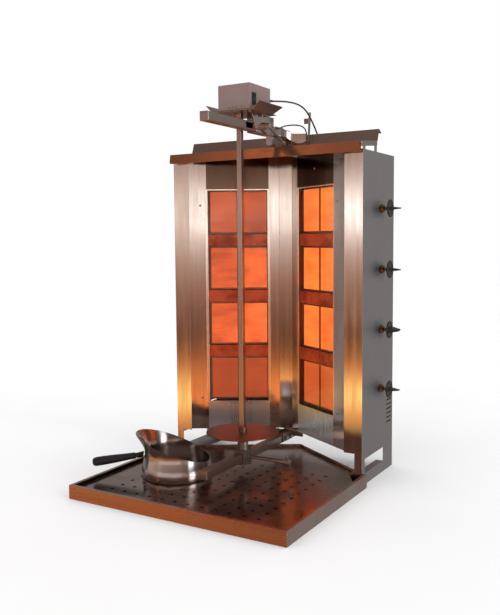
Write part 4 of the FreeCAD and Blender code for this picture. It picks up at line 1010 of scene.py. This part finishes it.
# The room that the steel mirrors, from under the floor to overhead: heights and colours
ROOM = [
    (-1.0, (0.30, 0.12, 0.05)), (-0.42, (0.60, 0.16, 0.05)), (-0.33, (0.60, 0.16, 0.05)),
    (-0.28, (0.14, 0.07, 0.045)), (-0.245, (0.45, 0.14, 0.05)), (-0.225, (1.50, 0.42, 0.11)),
    (-0.185, (1.40, 0.42, 0.12)), (-0.16, (0.40, 0.13, 0.05)), (-0.13, (0.15, 0.066, 0.040)),
    (-0.06, (0.45, 0.22, 0.145)), (0.0, (0.85, 0.62, 0.52)), (0.06, (1.00, 0.80, 0.70)),
    (0.10, (0.50, 0.34, 0.27)), (0.18, (0.17, 0.095, 0.070)), (0.42, (0.10, 0.052, 0.037)),
    (1.0, (0.32, 0.27, 0.25)),
]
# Lamps in it: height, half height and soft edge, turn, half width and soft edge, colour
LAMPS = [
    (0.033, 0.012, 0.022, 0.17, 0.66, 0.08, (2.6, 2.5, 2.45)),
    (0.027, 0.006, 0.020, -0.95, 0.38, 0.08, (1.6, 1.42, 1.30)),
    (-0.207, 0.005, 0.013, -0.78, 0.56, 0.10, (2.7, 1.95, 0.62)),
    (0.10, 0.45, 0.10, 1.50, 0.12, 0.09, (4.2, 4.2, 4.3)),
    (0.43, 0.12, 0.05, -0.545, 0.030, 0.015, (1.9, 0.50, 0.14)),
    (-0.42, 0.08, 0.03, -0.30, 0.10, 0.30, (0.20, 0.085, 0.055)),
]
ROOM_HALF, ROOM_EDGE = 1.15, 0.25
GREY_SIDES = (0.30, 0.28, 0.275, 1.0)
SOFT_WHITE = (1.10, 1.10, 1.11, 1.0)
WHITE = (1.0, 1.0, 1.0, 1.0)


def make_studio():
    """White for the eye, soft white light on matt things, and a warm room with lamps in steel."""
    world = bpy.data.worlds.new("studio")
    scene.world = world
    world.use_nodes = True
    t = Tree(world.node_tree)
    way = t.split(t.add("ShaderNodeTexCoord").outputs["Generated"])
    turn = t.math("ARCTAN2", way["X"], t.math("MULTIPLY", way["Y"], -1.0))
    height = way["Z"]
    ramp = t.add("ShaderNodeValToRGB")
    t.put(ramp.inputs[0], t.remap(height, -1.0, 1.0, 0.0, 1.0))
    stops = ramp.color_ramp.elements
    for z, _ in ROOM[1:-1]:
        stops.new((z + 1.0) / 2.0)
    for stop, (_, colour) in zip(stops, ROOM):
        stop.color = colour + (1.0,)

    def window(value, middle, half, soft):
        away = t.math("ABSOLUTE", t.math("SUBTRACT", value, middle))
        return t.remap(away, half, half + soft, 1.0, 0.0, True)

    front = window(turn, 0.0, ROOM_HALF, ROOM_EDGE)
    room = t.mix(front, GREY_SIDES, ramp.outputs[0])
    for z, half, soft, azimuth, half_turn, soft_turn, colour in LAMPS:
        band = window(height, z, half, soft)
        mask = t.math("MULTIPLY", band, window(turn, azimuth, half_turn, soft_turn))
        room = t.mix(mask, room, colour + (1.0,))
    rays = t.add("ShaderNodeLightPath").outputs
    seen = t.mix(rays["Is Diffuse Ray"], room, SOFT_WHITE)
    seen = t.mix(rays["Is Camera Ray"], seen, WHITE)
    t.put(t.nodes["Background"].inputs["Color"], seen)
    t.nodes["Background"].inputs["Strength"].default_value = 1.0


make_floor()
make_studio()
